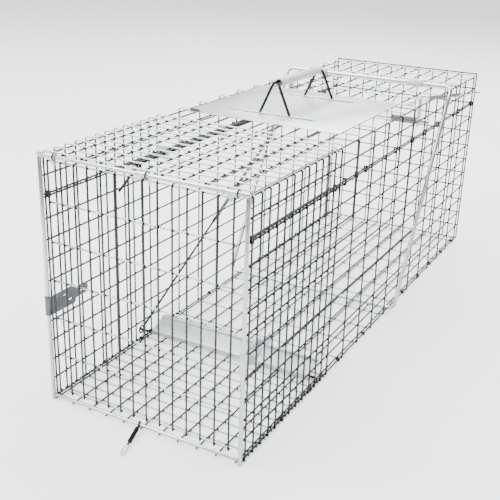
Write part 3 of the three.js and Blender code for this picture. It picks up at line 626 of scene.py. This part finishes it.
def plate(outline, thickness, direction):
    # a flat shape filled from its outline and pushed out to its thickness
    mesh = bpy.data.meshes.new("plate")
    mesh.from_pydata([tuple(point) for point in outline], [], [tuple(range(len(outline)))])
    piece = bpy.data.objects.new("plate", mesh)
    bpy.context.scene.collection.objects.link(piece)
    makeActive(piece)
    bpy.ops.object.mode_set(mode="EDIT")
    bpy.ops.mesh.select_all(action="SELECT")
    bpy.ops.mesh.extrude_region_move(TRANSFORM_OT_translate={"value": Vector(direction) * thickness})
    bpy.ops.mesh.select_all(action="SELECT")
    bpy.ops.mesh.normals_make_consistent(inside=False)
    bpy.ops.object.mode_set(mode="OBJECT")
    return piece


def block(low, high):
    low, high = Vector(low), Vector(high)
    deselectAll()
    bpy.ops.mesh.primitive_cube_add(size=1, location=(low + high) / 2)
    piece = bpy.context.object
    piece.scale = high - low
    return freeze(piece)


def cutWith(piece, cutters):
    for cutter in cutters:
        applyModifier(piece, "BOOLEAN", operation="DIFFERENCE", solver="EXACT", object=cutter)
        bpy.data.objects.remove(cutter)
    return piece


def middleOf(node):
    low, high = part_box(node)
    return (low + high) / 2


def spanOf(node, axis):
    # the two ends of a solid along one axis, through its middle
    low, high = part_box(node)
    start, end = middleOf(node), middleOf(node)
    setattr(start, axis, getattr(low, axis))
    setattr(end, axis, getattr(high, axis))
    return start, end


def jointPlace(name):
    return Vector(next(joint["pos_m"] for joint in frame["joints"] if joint["name"] == name))


frontRods = {"front_post_left": "z", "front_post_right": "z", "front_top_rod": "x", "front_bottom_rod": "x"}


def makeFrontFrame():
    for node, axis in frontRods.items():
        low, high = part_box(node)
        bar = straightWire(*spanOf(node, axis), high.x - low.x if axis == "z" else high.z - low.z, 16)
        finishNode(bar, node, "brightRod")


clipPlan = {"sheet": 0.8 * mm, "gap": 0.3 * mm, "roll": 0.98, "tail": 3.4 * mm, "tailBend": 1 * mm,
            "tailRise": 1 * mm, "eyeWire": 1.6 * mm}


def clearOfUprights(x, low, high):
    # the middle of the door cell behind a clip, kept within the clip's own width
    doorLow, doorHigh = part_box("door_panel")
    first = doorLow.x + doorPlan["overhang"] + wire / 2
    last = doorHigh.x - doorPlan["rightGap"] - doorPlan["overhang"] - wire / 2
    step = (last - first) / (doorPlan["uprights"] - 1)
    cell = min(math.floor((x - first) / step), doorPlan["uprights"] - 2)
    half = clipPlan["tail"] / 2
    return min(max(first + (cell + 0.5) * step, low + half), high - half)


def makeHingeClips():
    # a band round the top rod with a tail down to the door's top wire, and a wire eye beside it
    hinge = jointPlace("door_swing")
    rod = middleOf("front_top_rod")
    rodLow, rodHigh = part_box("front_top_rod")
    reach = (rodHigh.z - rodLow.z) / 2 + clipPlan["gap"] + clipPlan["sheet"] / 2
    for side in ("left", "middle", "right"):
        node = "hinge_clip_" + side
        low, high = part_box(node)
        x = (low.x + high.x) / 2
        path = [(x, rod.y - reach, rod.z - reach), (x, rod.y + reach, rod.z - reach),
                (x, rod.y + reach, rod.z + reach), (x, rod.y - reach, rod.z + reach)]
        band = bentStrip(path, reach * clipPlan["roll"], high.x - low.x, clipPlan["sheet"], closed=True)
        tailX = clearOfUprights(x, low.x, high.x)
        tailPath = [(tailX, rod.y + reach, rod.z), (tailX, rod.y + reach, hinge.z),
                    (tailX, hinge.y, low.z + clipPlan["tailRise"])]
        tail = bentStrip(tailPath, clipPlan["tailBend"], clipPlan["tail"], clipPlan["sheet"])
        finishNode(joined([band, tail]), node, "sheet")
        endX = high.x - clipPlan["eyeWire"]
        around = reach + clipPlan["eyeWire"] / 2
        eye = wireEye(Vector((endX, rod.y, rod.z)), Vector((0, -1, 0)), Vector((0, 0, -1)), around,
                      clipPlan["eyeWire"], 8, 5)
        finishPiece(eye, "hingeClipEnd" + side.capitalize(), "cage", (), "darkWire")


tabPlan = {
    "sheet": 1.2 * mm, "step": 44 * mm, "tailShare": 0.52, "stepSlope": 3 * mm, "lap": 5.5 * mm, "roll": 0.98,
    "slotLength": 9 * mm, "slotHeight": 2.4 * mm,
    "slots": ((20 * mm, 5 * mm), (33 * mm, -4 * mm), (54 * mm, 0)),    # distance back and rise
    # the left tab is the same sheet as the right one but is given the darker tab tone
    "materialKey": {"left": "tab", "right": "sheet"},
}


def makeLockTabs():
    # rolled round the post in front, then a flat leg that narrows at a step
    for side, name in flanks:
        low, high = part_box("lock_tab_" + name)
        outer, inner = (low.x, high.x) if side < 0 else (high.x, low.x)
        half = tabPlan["sheet"] / 2
        faceY, z = low.y + half, (low.z + high.z) / 2
        lapX, legX = outer - side * half, inner + side * half
        stepY = fromFront(tabPlan["step"])
        path = [(lapX, faceY + tabPlan["lap"], z), (lapX, faceY, z), (legX, faceY, z), (legX, stepY, z)]
        roll = abs(lapX - legX) / 2 * tabPlan["roll"]
        strip = bentStrip(path, roll, high.z - low.z, tabPlan["sheet"], across=(0, 0, 1), live=True)
        bpy.ops.mesh.extrude_region_move(TRANSFORM_OT_translate={"value": (0, tabPlan["stepSlope"], 0)})
        bpy.ops.transform.resize(value=(1, 1, tabPlan["tailShare"]), center_override=(legX, 0, z))
        bpy.ops.mesh.extrude_region_move(
            TRANSFORM_OT_translate={"value": (0, high.y - stepY - tabPlan["stepSlope"], 0)})
        thicken(strip, tabPlan["sheet"])
        slots = []
        for back, rise in tabPlan["slots"]:
            reach = Vector((3 * half, tabPlan["slotLength"] / 2, tabPlan["slotHeight"] / 2))
            middle = Vector((legX, fromFront(back) + reach.y, z + rise))
            slots.append(block(middle - reach, middle + reach))
        cutWith(strip, slots)
        finishNode(strip, "lock_tab_" + name, tabPlan["materialKey"][name])


leverPlan = {
    "rod": 6 * mm, "bend": 9 * mm, "sleeveGap": 0.3 * mm,
    "guideSheet": 1 * mm, "guideWidth": 5 * mm, "guideBend": 1.5 * mm,
    "guideReach": 237 * mm, "guideHalf": 12 * mm,
}


def makeLever():
    pivot = jointPlace("lever_swing")
    top = middleOf("lever_top_bar")
    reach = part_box("lever_top_bar")[1].x - leverPlan["rod"] / 2
    path = [(-reach, pivot.y, pivot.z), (-reach, top.y, top.z), (reach, top.y, top.z),
            (reach, pivot.y, pivot.z)]
    loop = bentWire(path, leverPlan["bend"], leverPlan["rod"], 16, 8, closed=True)
    leverNodes = ("lever_arm_right", "lever_arm_left", "lever_top_bar", "lever_pivot_rod")
    finishPiece(loop, "leverLoop", "lever", leverNodes, "brightRod")
    bore = leverPlan["rod"] / 2 + leverPlan["sleeveGap"]
    for node in ("lever_sleeve_left", "lever_sleeve_right"):
        low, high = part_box(node)
        barrel = tube(*spanOf(node, "x"), bore, (high.z - low.z) / 2)
        finishNode(barrel, node, "plastic")
    makeLatchGuide(pivot, top, reach)


def makeLatchGuide(pivot, top, reach):
    # the sheet guide on the left arm that the latch bar runs through
    arm = Vector((0, top.y - pivot.y, top.z - pivot.z)).normalized()
    outer = Vector((-reach, 0, 0))
    inner = Vector((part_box("lever_arm_left")[1].x - leverPlan["guideSheet"] / 2, 0, 0))
    centre = Vector((0, pivot.y, pivot.z)) + arm * leverPlan["guideReach"]
    half = leverPlan["guideHalf"] + leverPlan["guideSheet"] / 2
    path = [outer + centre - arm * half, inner + centre - arm * half, inner + centre + arm * half,
            outer + centre + arm * half]
    strap = bentStrip(path, leverPlan["guideBend"], leverPlan["guideWidth"], leverPlan["guideSheet"],
                      across=arm.cross(Vector((1, 0, 0))))
    finishPiece(strap, "latchGuide", "lever", ("lever_arm_left",), "sheet")


treadlePlan = {
    "sheet": 1.2 * mm, "lip": 7 * mm, "lipBend": 1.4 * mm, "hem": 1.5 * mm, "hemTurn": 170,
    "topInset": 2 * mm, "topDrop": 0.8 * mm,
    "ribs": (-0.7, -0.35, 0.35, 0.7),              # places across, in halves of the width
    "ribStart": 5 * mm, "ribLength": 15 * mm, "ribWire": 1.6 * mm, "ribLift": 0.2 * mm,
    "gusset": 19 * mm, "gussetLow": 5 * mm, "gussetHigh": 3 * mm, "softEdge": 0.3 * mm,
}


def makeTreadle():
    low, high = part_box("treadle")
    sheet = treadlePlan["sheet"]
    front0 = low.y + sheet / 2
    bend0 = low.z + treadlePlan["lip"] - sheet / 2
    topEdge = (0, high.y - treadlePlan["topInset"], high.z - sheet / 2 - treadlePlan["topDrop"])
    path = [Vector((0, front0, low.z)), Vector((0, front0, bend0)), Vector(topEdge)]
    slope = (path[2] - path[1]).normalized()
    strip = bentStrip(path, treadlePlan["lipBend"], high.x - low.x, sheet, live=True)
    hemCentre = path[2] - Vector((0, slope.z, -slope.y)) * treadlePlan["hem"]
    bpy.ops.mesh.spin(steps=6, angle=math.radians(treadlePlan["hemTurn"]), center=hemCentre, axis=(1, 0, 0))
    thicken(strip, sheet)
    finishPiece(strip, "treadlePlate", "treadle", ("treadle",), "sheet")
    ribs = []
    for share in treadlePlan["ribs"]:
        place = Vector((share * high.x, 0, treadlePlan["ribLift"]))
        start = path[1] + slope * treadlePlan["ribStart"] + place
        ribs.append(straightWire(start, start + slope * treadlePlan["ribLength"], treadlePlan["ribWire"], 8))
    finishPiece(joined(ribs), "treadleRibs", "treadle", ("treadle",), "sheet")
    gussets = []
    rear0 = front0 + treadlePlan["gusset"]
    for side in (-1, 1):
        x = side * (high.x - sheet)
        outline = [(x, front0, low.z), (x, rear0, high.z - treadlePlan["gussetLow"]),
                   (x, rear0, high.z - treadlePlan["gussetHigh"]), (x, front0, bend0)]
        gussets.append(breakEdges(plate(outline, sheet, (-side, 0, 0)), treadlePlan["softEdge"]))
    finishPiece(joined(gussets), "treadleGussets", "treadle", ("treadle",), "sheet")
    makeTreadleAxle()


axlePlan = {
    "rod": 3.4 * mm, "bend": 1.9 * mm, "crankInset": 2.2 * mm,
    "springRadius": 2.85 * mm, "springWire": 1.2 * mm, "springTurns": 8,
    "legInset": 1 * mm, "legLength": 14 * mm, "legDrop": 3.2 * mm,
}


def makeTreadleAxle():
    low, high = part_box("treadle_axle")
    axle, crank = jointPlace("treadle_tilt"), jointPlace("trip_rod_swing")
    crankX = -(halfWidth - 2 * wire - axlePlan["crankInset"])
    path = [(high.x, axle.y, axle.z), (crankX, axle.y, axle.z), (crankX, crank.y, crank.z),
            (low.x, crank.y, crank.z)]
    shaft = bentWire(path, axlePlan["bend"], axlePlan["rod"], 12)
    finishNode(shaft, "treadle_axle", "darkWire")
    start, end = spanOf("treadle_spring", "x")
    radius, gauge = axlePlan["springRadius"], axlePlan["springWire"]
    spring = coil(start, end, radius, axlePlan["springTurns"], gauge)
    legX = end.x - axlePlan["legInset"]
    legEnd = (legX, end.y + axlePlan["legLength"], end.z - axlePlan["legDrop"])
    leg = bentWire([(legX, end.y, end.z - radius), legEnd], 0, gauge, 8)
    finishPiece(joined([spring, leg]), "treadleSpring", "treadle", ("treadle_spring",),
                "springSteel")


tripPlan = {
    "eye": 3.8 * mm, "eyeWire": 0.75,              # the eye's wire is this share of the rod
    "topInset": 1 * mm,
    "latchDepth": 8 * mm,
    "crimpLength": 12 * mm, "crimpOver": 1 * mm, "crimpBore": 1.2 * mm, "crimpRadius": 2.1 * mm,
}


def makeTripRod():
    pin = jointPlace("trip_rod_swing")
    low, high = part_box("trip_wire")
    x = (low.x + high.x) / 2
    gauge = high.x - low.x
    top = Vector((x, high.y - tripPlan["topInset"], high.z - tripPlan["topInset"]))
    eyeWire = gauge * tripPlan["eyeWire"]
    rod, along, side = eyedRod(Vector((x, pin.y, pin.z)), top, tripPlan["eye"] + eyeWire / 2, eyeWire, gauge)
    finishNode(rod, "trip_wire", "darkWire")
    makeLatchBar(along, side, top)


def makeLatchBar(along, side, wireTop):
    low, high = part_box("latch_bar")
    depth, sheet = tripPlan["latchDepth"], high.x - low.x
    length = (high.z - low.z - depth * abs(side.z)) / along.z
    start = (low + high) / 2 - along * length / 2
    bar = bentStrip([start, start + along * length], 0, depth, sheet, across=side)
    crimp = tube(wireTop - along * tripPlan["crimpLength"], wireTop + along * tripPlan["crimpOver"],
                 tripPlan["crimpBore"], tripPlan["crimpRadius"], 12)
    finishNode(bar, "latch_bar", "latchSteel")
    finishPiece(crimp, "latchBarCrimp", "trip_rod", ("latch_bar",), "springSteel")


rockerPlan = {
    "rod": 5 * mm, "pinX": -38 * mm, "lean": 30, "throw": 31.3 * mm,
    "crankWire": 2.8 * mm, "crankBend": 1.4 * mm, "crankGap": 3.5 * mm, "crankLap": 6 * mm, "pinOver": 2 * mm,
    "hubBore": 2.55 * mm, "hubRadius": 4.2 * mm, "hubFront": 1 * mm, "hubBack": 7 * mm,
    "holeGap": 1.2 * mm, "past": 2 * mm, "softEdge": 0.3 * mm,
    "foldSheet": 1 * mm, "foldDrop": 0.7 * mm, "foldReach": 9 * mm, "foldBend": 0.2 * mm,
    "foldWidth": 14 * mm,
    "springWire": 2.0 * mm, "springTurns": 15,
    "legLean": 1 * mm, "legRise": 26 * mm, "legTop": 34 * mm, "legReach": 6 * mm, "legBend": 2 * mm,
}


def makeRocker():
    axis = jointPlace("rocker_turn")
    low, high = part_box("rocker_shaft")
    pinX, lean, throw = rockerPlan["pinX"], math.radians(rockerPlan["lean"]), rockerPlan["throw"]
    tip = Vector((pinX, axis.y - throw * math.sin(lean), axis.z + throw * math.cos(lean)))
    shaft = straightWire((low.x, axis.y, axis.z), (high.x, axis.y, axis.z), rockerPlan["rod"], 14)
    crankX = pinX + rockerPlan["crankGap"]
    path = [(pinX - rockerPlan["pinOver"], tip.y, tip.z), (crankX, tip.y, tip.z), (crankX, axis.y, axis.z),
            (crankX + rockerPlan["crankLap"], axis.y, axis.z)]
    crank = bentWire(path, rockerPlan["crankBend"], rockerPlan["crankWire"], 10)
    hubStart = (crankX - rockerPlan["hubFront"], axis.y, axis.z)
    hubEnd = (crankX + rockerPlan["hubBack"], axis.y, axis.z)
    hub = tube(hubStart, hubEnd, rockerPlan["hubBore"], rockerPlan["hubRadius"])
    finishNode(joined([shaft, crank, hub]), "rocker_shaft", "brightRod")
    for side, name in flanks:
        makeRockerBracket(side, name, axis)
        makeRockerSpring(side, name, axis)


def makeRockerBracket(side, name, axis):
    # a hanging plate bored for the shaft, with a fold under the roof
    low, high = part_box("rocker_bracket_" + name)
    past = rockerPlan["past"]
    hole = straightWire((low.x - past, axis.y, axis.z), (high.x + past, axis.y, axis.z),
                        rockerPlan["rod"] + rockerPlan["holeGap"], 20)
    bracket = cutWith(block(low, high), [hole])
    breakEdges(bracket, rockerPlan["softEdge"])
    x, y = (low.x + high.x) / 2, (low.y + high.y) / 2
    foldZ = high.z - rockerPlan["foldDrop"]
    foldSheet = rockerPlan["foldSheet"]
    path = [(x, y, high.z - foldSheet), (x, y, foldZ), (x - side * rockerPlan["foldReach"], y, foldZ)]
    fold = bentStrip(path, rockerPlan["foldBend"], rockerPlan["foldWidth"], foldSheet, across=(0, 1, 0))
    finishNode(joined([bracket, fold]), "rocker_bracket_" + name, "sheet")


def makeRockerSpring(side, name, axis):
    low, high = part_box("rocker_spring_" + name)
    gauge = rockerPlan["springWire"]
    radius = (high.z - low.z) / 2 - gauge / 2
    spring = coil((low.x, axis.y, axis.z), (high.x, axis.y, axis.z), radius, rockerPlan["springTurns"], gauge)
    endX = low.x + gauge if side > 0 else high.x - gauge
    legY = axis.y - radius - rockerPlan["legLean"]
    path = [(endX, axis.y - radius, axis.z), (endX, legY, axis.z + rockerPlan["legRise"]),
            (endX + side * rockerPlan["legReach"], legY, axis.z + rockerPlan["legTop"])]
    leg = bentWire(path, rockerPlan["legBend"], gauge, 8)
    finishNode(joined([spring, leg]), "rocker_spring_" + name, "latchSteel")


pullPlan = {
    "rod": 4 * mm, "eyeRadius": 5.6 * mm, "eyeWire": 2.2 * mm, "eyeInset": 6.7 * mm, "pin": 2 * mm,
    "guideBore": 6 * mm, "guidePast": 2 * mm, "guideEdge": 0.25 * mm,
}


def makePullRod():
    low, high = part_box("pull_rod")
    link = jointPlace("door_link_swing")
    x, z = rockerPlan["pinX"], link.z
    eyeY = high.y - pullPlan["eyeInset"]
    bar = straightWire((x, low.y, z), (x, eyeY - pullPlan["eyeRadius"], z), pullPlan["rod"], 14)
    eye = wireEye(Vector((x, eyeY, z)), Vector((0, -1, 0)), Vector((0, 0, -1)), pullPlan["eyeRadius"],
                  pullPlan["eyeWire"])
    pin = straightWire((x, link.y, z), (high.x, link.y, z), pullPlan["pin"], 10)
    finishNode(joined([bar, eye, pin]), "pull_rod", "darkWire")
    for node in ("rod_guide_front", "rod_guide_rear"):
        low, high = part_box(node)
        past = pullPlan["guidePast"]
        hole = straightWire((x, low.y - past, z), (x, high.y + past, z), pullPlan["guideBore"], 20)
        guide = cutWith(block(low, high), [hole])
        finishNode(breakEdges(guide, pullPlan["guideEdge"]), node, "sheet")


linkPlan = {"wire": 2.8 * mm, "eyeRadius": 2.5 * mm, "eyeWire": 1.9 * mm, "endInset": 1.3 * mm}


def makeDoorLink():
    pin = jointPlace("door_link_swing")
    low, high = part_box("door_link")
    x = (low.x + high.x) / 2
    end = Vector((x, low.y + linkPlan["endInset"], low.z + linkPlan["endInset"]))
    rod = eyedRod(Vector((x, pin.y, pin.z)), end, linkPlan["eyeRadius"], linkPlan["eyeWire"],
                  linkPlan["wire"])[0]
    finishNode(rod, "door_link", "darkWire")


guardPlan = {
    "sheet": 1 * mm, "slotWidth": 7 * mm, "slotOver": 2 * mm, "slotPast": 3 * mm,
    "tab": 14 * mm, "tabSheet": 0.8 * mm, "tabLap": 4 * mm, "tabInset": 0.6 * mm, "tabLift": 0.9 * mm,
}


def makeGuardPlate():
    low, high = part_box("guard_plate")
    z = low.z + guardPlan["sheet"] / 2
    sheet = bentStrip([(0, low.y, z), (0, high.y, z)], 0, high.x - low.x, guardPlan["sheet"])
    slots = []
    for node in ("handle_cross_rod_front", "handle_cross_rod_rear"):
        barLow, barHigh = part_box(node)
        y, half, over = (barLow.y + barHigh.y) / 2, guardPlan["slotWidth"] / 2, guardPlan["slotOver"]
        slots.append(block((barLow.x - over, y - half, low.z - over),
                           (barHigh.x + over, y + half, low.z + guardPlan["slotPast"])))
    cutWith(sheet, slots)
    finishNode(sheet, "guard_plate", "sheet")
    tabX, tabY, tabZ = low.x + guardPlan["tab"], low.y + guardPlan["tabInset"], z + guardPlan["tabLift"]
    tab = bentStrip([(tabX, low.y + guardPlan["tabLap"], tabZ), (tabX, tabY, tabZ), (tabX, tabY, high.z)],
                    guardPlan["tabSheet"], guardPlan["tab"], guardPlan["tabSheet"])
    finishPiece(tab, "guardTab", "cage", ("guard_plate",), "tab")


handlePlan = {"wire": 3.6 * mm, "bend": 6 * mm, "gripWall": 1.6 * mm, "gripRadius": 5.5 * mm,
              "crossRod": 3 * mm}


def makeHandle():
    for end in ("front", "rear"):
        node = "handle_cross_rod_" + end
        bar = straightWire(*spanOf(node, "x"), handlePlan["crossRod"], 14)
        # the cross rods take the light zinc tone, painted light
        finishPiece(bar, "handleRod" + end.capitalize(), "cage", (node,), "zincPaintedLit")
    footZ = middleOf("handle_cross_rod_front").z
    for side, name in flanks:
        low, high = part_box("handle_wire_" + name)
        half = handlePlan["wire"] / 2
        foot, top = (low.x + half, high.x - half) if side < 0 else (high.x - half, low.x + half)
        y0, y1, topZ = low.y + half, high.y - half, high.z - half
        path = [(foot, y0, footZ), (top, y0, topZ), (top, y1, topZ), (foot, y1, footZ)]
        leg = bentWire(path, handlePlan["bend"], handlePlan["wire"], 14)
        finishNode(leg, "handle_wire_" + name, "darkWire")
    radius = handlePlan["gripRadius"]
    grip = tube(*spanOf("handle_grip", "y"), radius - handlePlan["gripWall"], radius, 32)
    finishNode(grip, "handle_grip", "plastic")


lockPlan = {
    "springTurns": 76, "springWire": 1.2 * mm, "springGap": 0.1 * mm,
    "collarGap": 0.2 * mm, "collarWall": 1 * mm, "endShare": 0.3,
}


def makeLockRod():
    low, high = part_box("lock_rod")
    x, half = (low.x + high.x) / 2, (high.x - low.x) / 2
    inset = lockPlan["endShare"] * half
    rodFront = Vector((x, low.y + inset, high.z - half))
    rodRear = Vector((x, high.y - inset, low.z + half))
    along = (rodRear - rodFront).normalized()
    bar = straightWire(rodFront, rodRear, 2 * half, 12)
    finishNode(bar, "lock_rod", "brightRod")
    for node in ("lock_spring", "lock_collar"):
        partLow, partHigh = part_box(node)
        start, end = (rodFront + along * ((y - rodFront.y) / along.y) for y in (partLow.y, partHigh.y))
        if node == "lock_spring":
            radius = half + lockPlan["springGap"] + lockPlan["springWire"] / 2
            piece = coil(start, end, radius, lockPlan["springTurns"], lockPlan["springWire"], 6, 12)
        else:
            piece = tube(start, end, half + lockPlan["collarGap"], half + lockPlan["collarWall"])
        finishNode(piece, node, "latchSteel")


roofClipPlan = {"sheet": 0.9 * mm, "footRise": 0.6 * mm, "topDrop": 0.5 * mm, "footHalf": 2.4 * mm,
                "topHalf": 2 * mm}


def makeRoofClip():
    low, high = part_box("roof_clip")
    middle = (low + high) / 2
    footZ, topZ = low.z + roofClipPlan["footRise"], high.z - roofClipPlan["topDrop"]
    places = [(low.y, footZ), (middle.y - roofClipPlan["footHalf"], footZ),
              (middle.y - roofClipPlan["topHalf"], topZ), (middle.y + roofClipPlan["topHalf"], topZ),
              (middle.y + roofClipPlan["footHalf"], footZ), (high.y, footZ)]
    path = [(middle.x, y, z) for y, z in places]
    clip = bentStrip(path, roofClipPlan["sheet"], high.x - low.x, roofClipPlan["sheet"])
    finishNode(clip, "roof_clip", "sheet")


hookPlan = {
    "wire": 2.4 * mm, "skew": 15, "shank": 36 * mm, "eyeRadius": 3.6 * mm, "eyeWire": 1.6 * mm,
    "tipWidth": 4.4 * mm, "tipWire": 1.7 * mm, "tipBend": 1.1 * mm, "tipLift": 1.2 * mm,
    "tipLap": 2 * mm, "shoulder": 4 * mm, "point": 4.5 * mm, "tipEnd": 0.6 * mm, "neckShare": 0.35,
    "coilStart": 6 * mm, "coilEnd": 31 * mm, "coilRadius": 2 * mm, "coilWire": 1.2 * mm, "coilTurns": 15,
}


def makeHook():
    eye = jointPlace("front_hook_swing")
    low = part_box("front_hook")[0]
    skew = math.radians(hookPlan["skew"])
    reach = (eye.y - low.y) / math.cos(skew)
    fall = low.z + hookPlan["tipLift"] - eye.z
    along = (Vector((math.sin(skew), -math.cos(skew), 0)) * reach + Vector((0, 0, fall))).normalized()
    side = Vector((math.cos(skew), math.sin(skew), 0))
    radius = hookPlan["eyeRadius"]
    ring = wireEye(eye, along, side.cross(along), radius, hookPlan["eyeWire"])
    neck = eye + along * hookPlan["shank"]
    shank = straightWire(eye + along * radius, neck, hookPlan["wire"], 12)
    finishNode(joined([ring, shank]), "front_hook", "springSteel")
    wide, end = side * hookPlan["tipWidth"] / 2, eye + along * reach
    lap, shoulder = neck - along * hookPlan["tipLap"], neck + along * hookPlan["shoulder"]
    narrow, point = wide * hookPlan["neckShare"], end - along * hookPlan["point"]
    path = [lap - narrow, shoulder - wide, point - wide, end - along * hookPlan["tipEnd"], point + wide,
            shoulder + wide, lap + narrow]
    loop = bentWire(path, hookPlan["tipBend"], hookPlan["tipWire"], 10, 6)
    finishPiece(loop, "frontHookTip", "front_hook", ("front_hook",), "brightRod")
    winding = coil(eye + along * hookPlan["coilStart"], eye + along * hookPlan["coilEnd"],
                   hookPlan["coilRadius"], hookPlan["coilTurns"], hookPlan["coilWire"], 8, 14)
    finishNode(winding, "hook_coil", "springSteel")


seamPlan = {
    "wire": 2.0 * mm,
    "lace": 1.4 * mm,
    "lacePitch": 8.9 * mm,
    "laceEnds": (6 * mm, 222 * mm),
    "upper": (0.5, 8.4, 9.5, 11, 12.2, 16.5, 19.3, 21.5, 24, 28.5, 31.6),    # ring places in inches
    "lower": (0.4, 4, 7, 10.5, 14, 20.5, 23.5, 26, 28.5, 31),
    "inch": 25.4 * mm, "roll": 0.8,
}


def makeSeams():
    # rings squeezed round the two edge wires, and a spiral lacing along the close wires
    gauge = seamPlan["wire"]
    for side, name in flanks:
        x = side * (halfWidth - 1.5 * wire)
        for level in ("upper", "lower"):
            node = "seam_lacing_" + level + "_" + name
            low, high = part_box(node)
            z0, z1 = low.z + gauge / 2, high.z - gauge / 2
            reach = wire / 2 + gauge / 2
            path = [(x - reach, front, z0), (x + reach, front, z0), (x + reach, front, z1),
                    (x - reach, front, z1)]
            model = bentWire(path, reach * seamPlan["roll"], gauge, 8, 3, closed=True)
            rings = [copyOf(model, (0, place * seamPlan["inch"], 0)) for place in seamPlan[level]]
            bpy.data.objects.remove(model)
            start, end = (fromFront(place) for place in seamPlan["laceEnds"])
            turns = round((end - start) / seamPlan["lacePitch"])
            middleZ = (z0 + z1) / 2
            rings.append(coil((x, start, middleZ), (x, end, middleZ), reach, turns, seamPlan["lace"], 6, 10))
            title = "seamRings" + level.capitalize() + name.capitalize()
            finishPiece(joined(rings), title, "cage", (node,), "darkWire")


makeFrontFrame()
makeHingeClips()
makeLockTabs()
print("front frame made")
makeLever()
makeTreadle()
makeTripRod()
print("lever and treadle made")
makeRocker()
makePullRod()
makeDoorLink()
print("roof mechanism made")
makeGuardPlate()
makeHandle()
makeLockRod()
makeRoofClip()
makeHook()
makeSeams()
print("handle, lock, hook and seams made")

cameraPlan = {
    "place": (0.4814, -1.0592, 0.5433),
    "azimuth": 28.14, "elevation": 21.68, "roll": 1.94,     # degrees
    "lens": 60.44, "sensor": 36,
}


def makeCamera():
    turn, rise, roll = (math.radians(cameraPlan[key]) for key in ("azimuth", "elevation", "roll"))
    back = Vector((math.sin(turn) * math.cos(rise), -math.cos(turn) * math.cos(rise), math.sin(rise)))
    level = (-back).cross(Vector((0, 0, 1))).normalized()
    upward = level.cross(-back).normalized()
    sideways = level * math.cos(roll) + upward * math.sin(roll)
    upward = upward * math.cos(roll) - level * math.sin(roll)
    deselectAll()
    bpy.ops.object.camera_add(location=cameraPlan["place"])
    camera = bpy.context.object
    axes = Matrix((sideways, upward, back)).transposed()
    camera.rotation_euler = axes.to_euler()
    camera.data.sensor_width = cameraPlan["sensor"]
    camera.data.lens = cameraPlan["lens"]
    bpy.context.scene.camera = camera


# the floor's glow is for the camera alone and lights nothing
stagePlan = {"size": 60, "tone": 0.95, "rough": 0.9, "glow": 1.2}


def makeStage():
    deselectAll()
    bpy.ops.mesh.primitive_plane_add(size=stagePlan["size"], location=(0, 0, 0))
    floor = bpy.context.object
    floor.name = "studioFloor"
    paint = bpy.data.materials.new("studioFloor")
    paint.use_nodes = True
    tree = paint.node_tree
    surface = fillInputs(tree.nodes["Principled BSDF"], {
        "Base Color": (*[stagePlan["tone"]] * 3, 1), "Roughness": stagePlan["rough"],
        "Emission Color": (1, 1, 1, 1)})
    path = addNode(tree, "LightPath")
    glow = addNode(tree, "Math", {1: stagePlan["glow"]}, operation="MULTIPLY")
    connect(tree, (path, "Is Camera Ray", glow, 0), (glow, 0, surface, "Emission Strength"))
    floor.data.materials.append(paint)


lightPlan = [
    {"place": (-1.5, -1.3, 2.4), "size": 2.4, "power": 150},
    {"place": (1.9, -1.9, 1.5), "size": 1.2, "power": 22},
    {"place": (0.1, 1.3, 2.4), "size": 3.0, "power": 170},
]
lampTarget = (0, 0, 0.15)
worldPlan = {"seen": 1.7, "horizon": 0.06, "overhead": 0.4}    # brightness to the camera and to the surfaces


def makeLights():
    for plan in lightPlan:
        deselectAll()
        bpy.ops.object.light_add(type="AREA", location=plan["place"])
        lamp = bpy.context.object
        lamp.data.size = plan["size"]
        lamp.data.energy = plan["power"]
        lamp.rotation_euler = aim(Vector(plan["place"]) - Vector(lampTarget))
    world = bpy.data.worlds.new("studio")
    world.use_nodes = True
    tree = world.node_tree
    backdrop = fillInputs(tree.nodes["Background"], {"Color": (1, 1, 1, 1)})
    place = addNode(tree, "TexCoord")
    split = addNode(tree, "SeparateXYZ")
    rise = addNode(tree, "MapRange", {"To Min": worldPlan["horizon"], "To Max": worldPlan["overhead"]})
    path = addNode(tree, "LightPath")
    choose = addNode(tree, "Mix", {"B": worldPlan["seen"]})
    connect(tree,
            (place, "Generated", split, "Vector"), (split, "Z", rise, "Value"),
            (rise, "Result", choose, "A"), (path, "Is Camera Ray", choose, "Factor"),
            (choose, "Result", backdrop, "Strength"))
    bpy.context.scene.world = world


makeCamera()
makeStage()
makeLights()
print("camera and studio made")
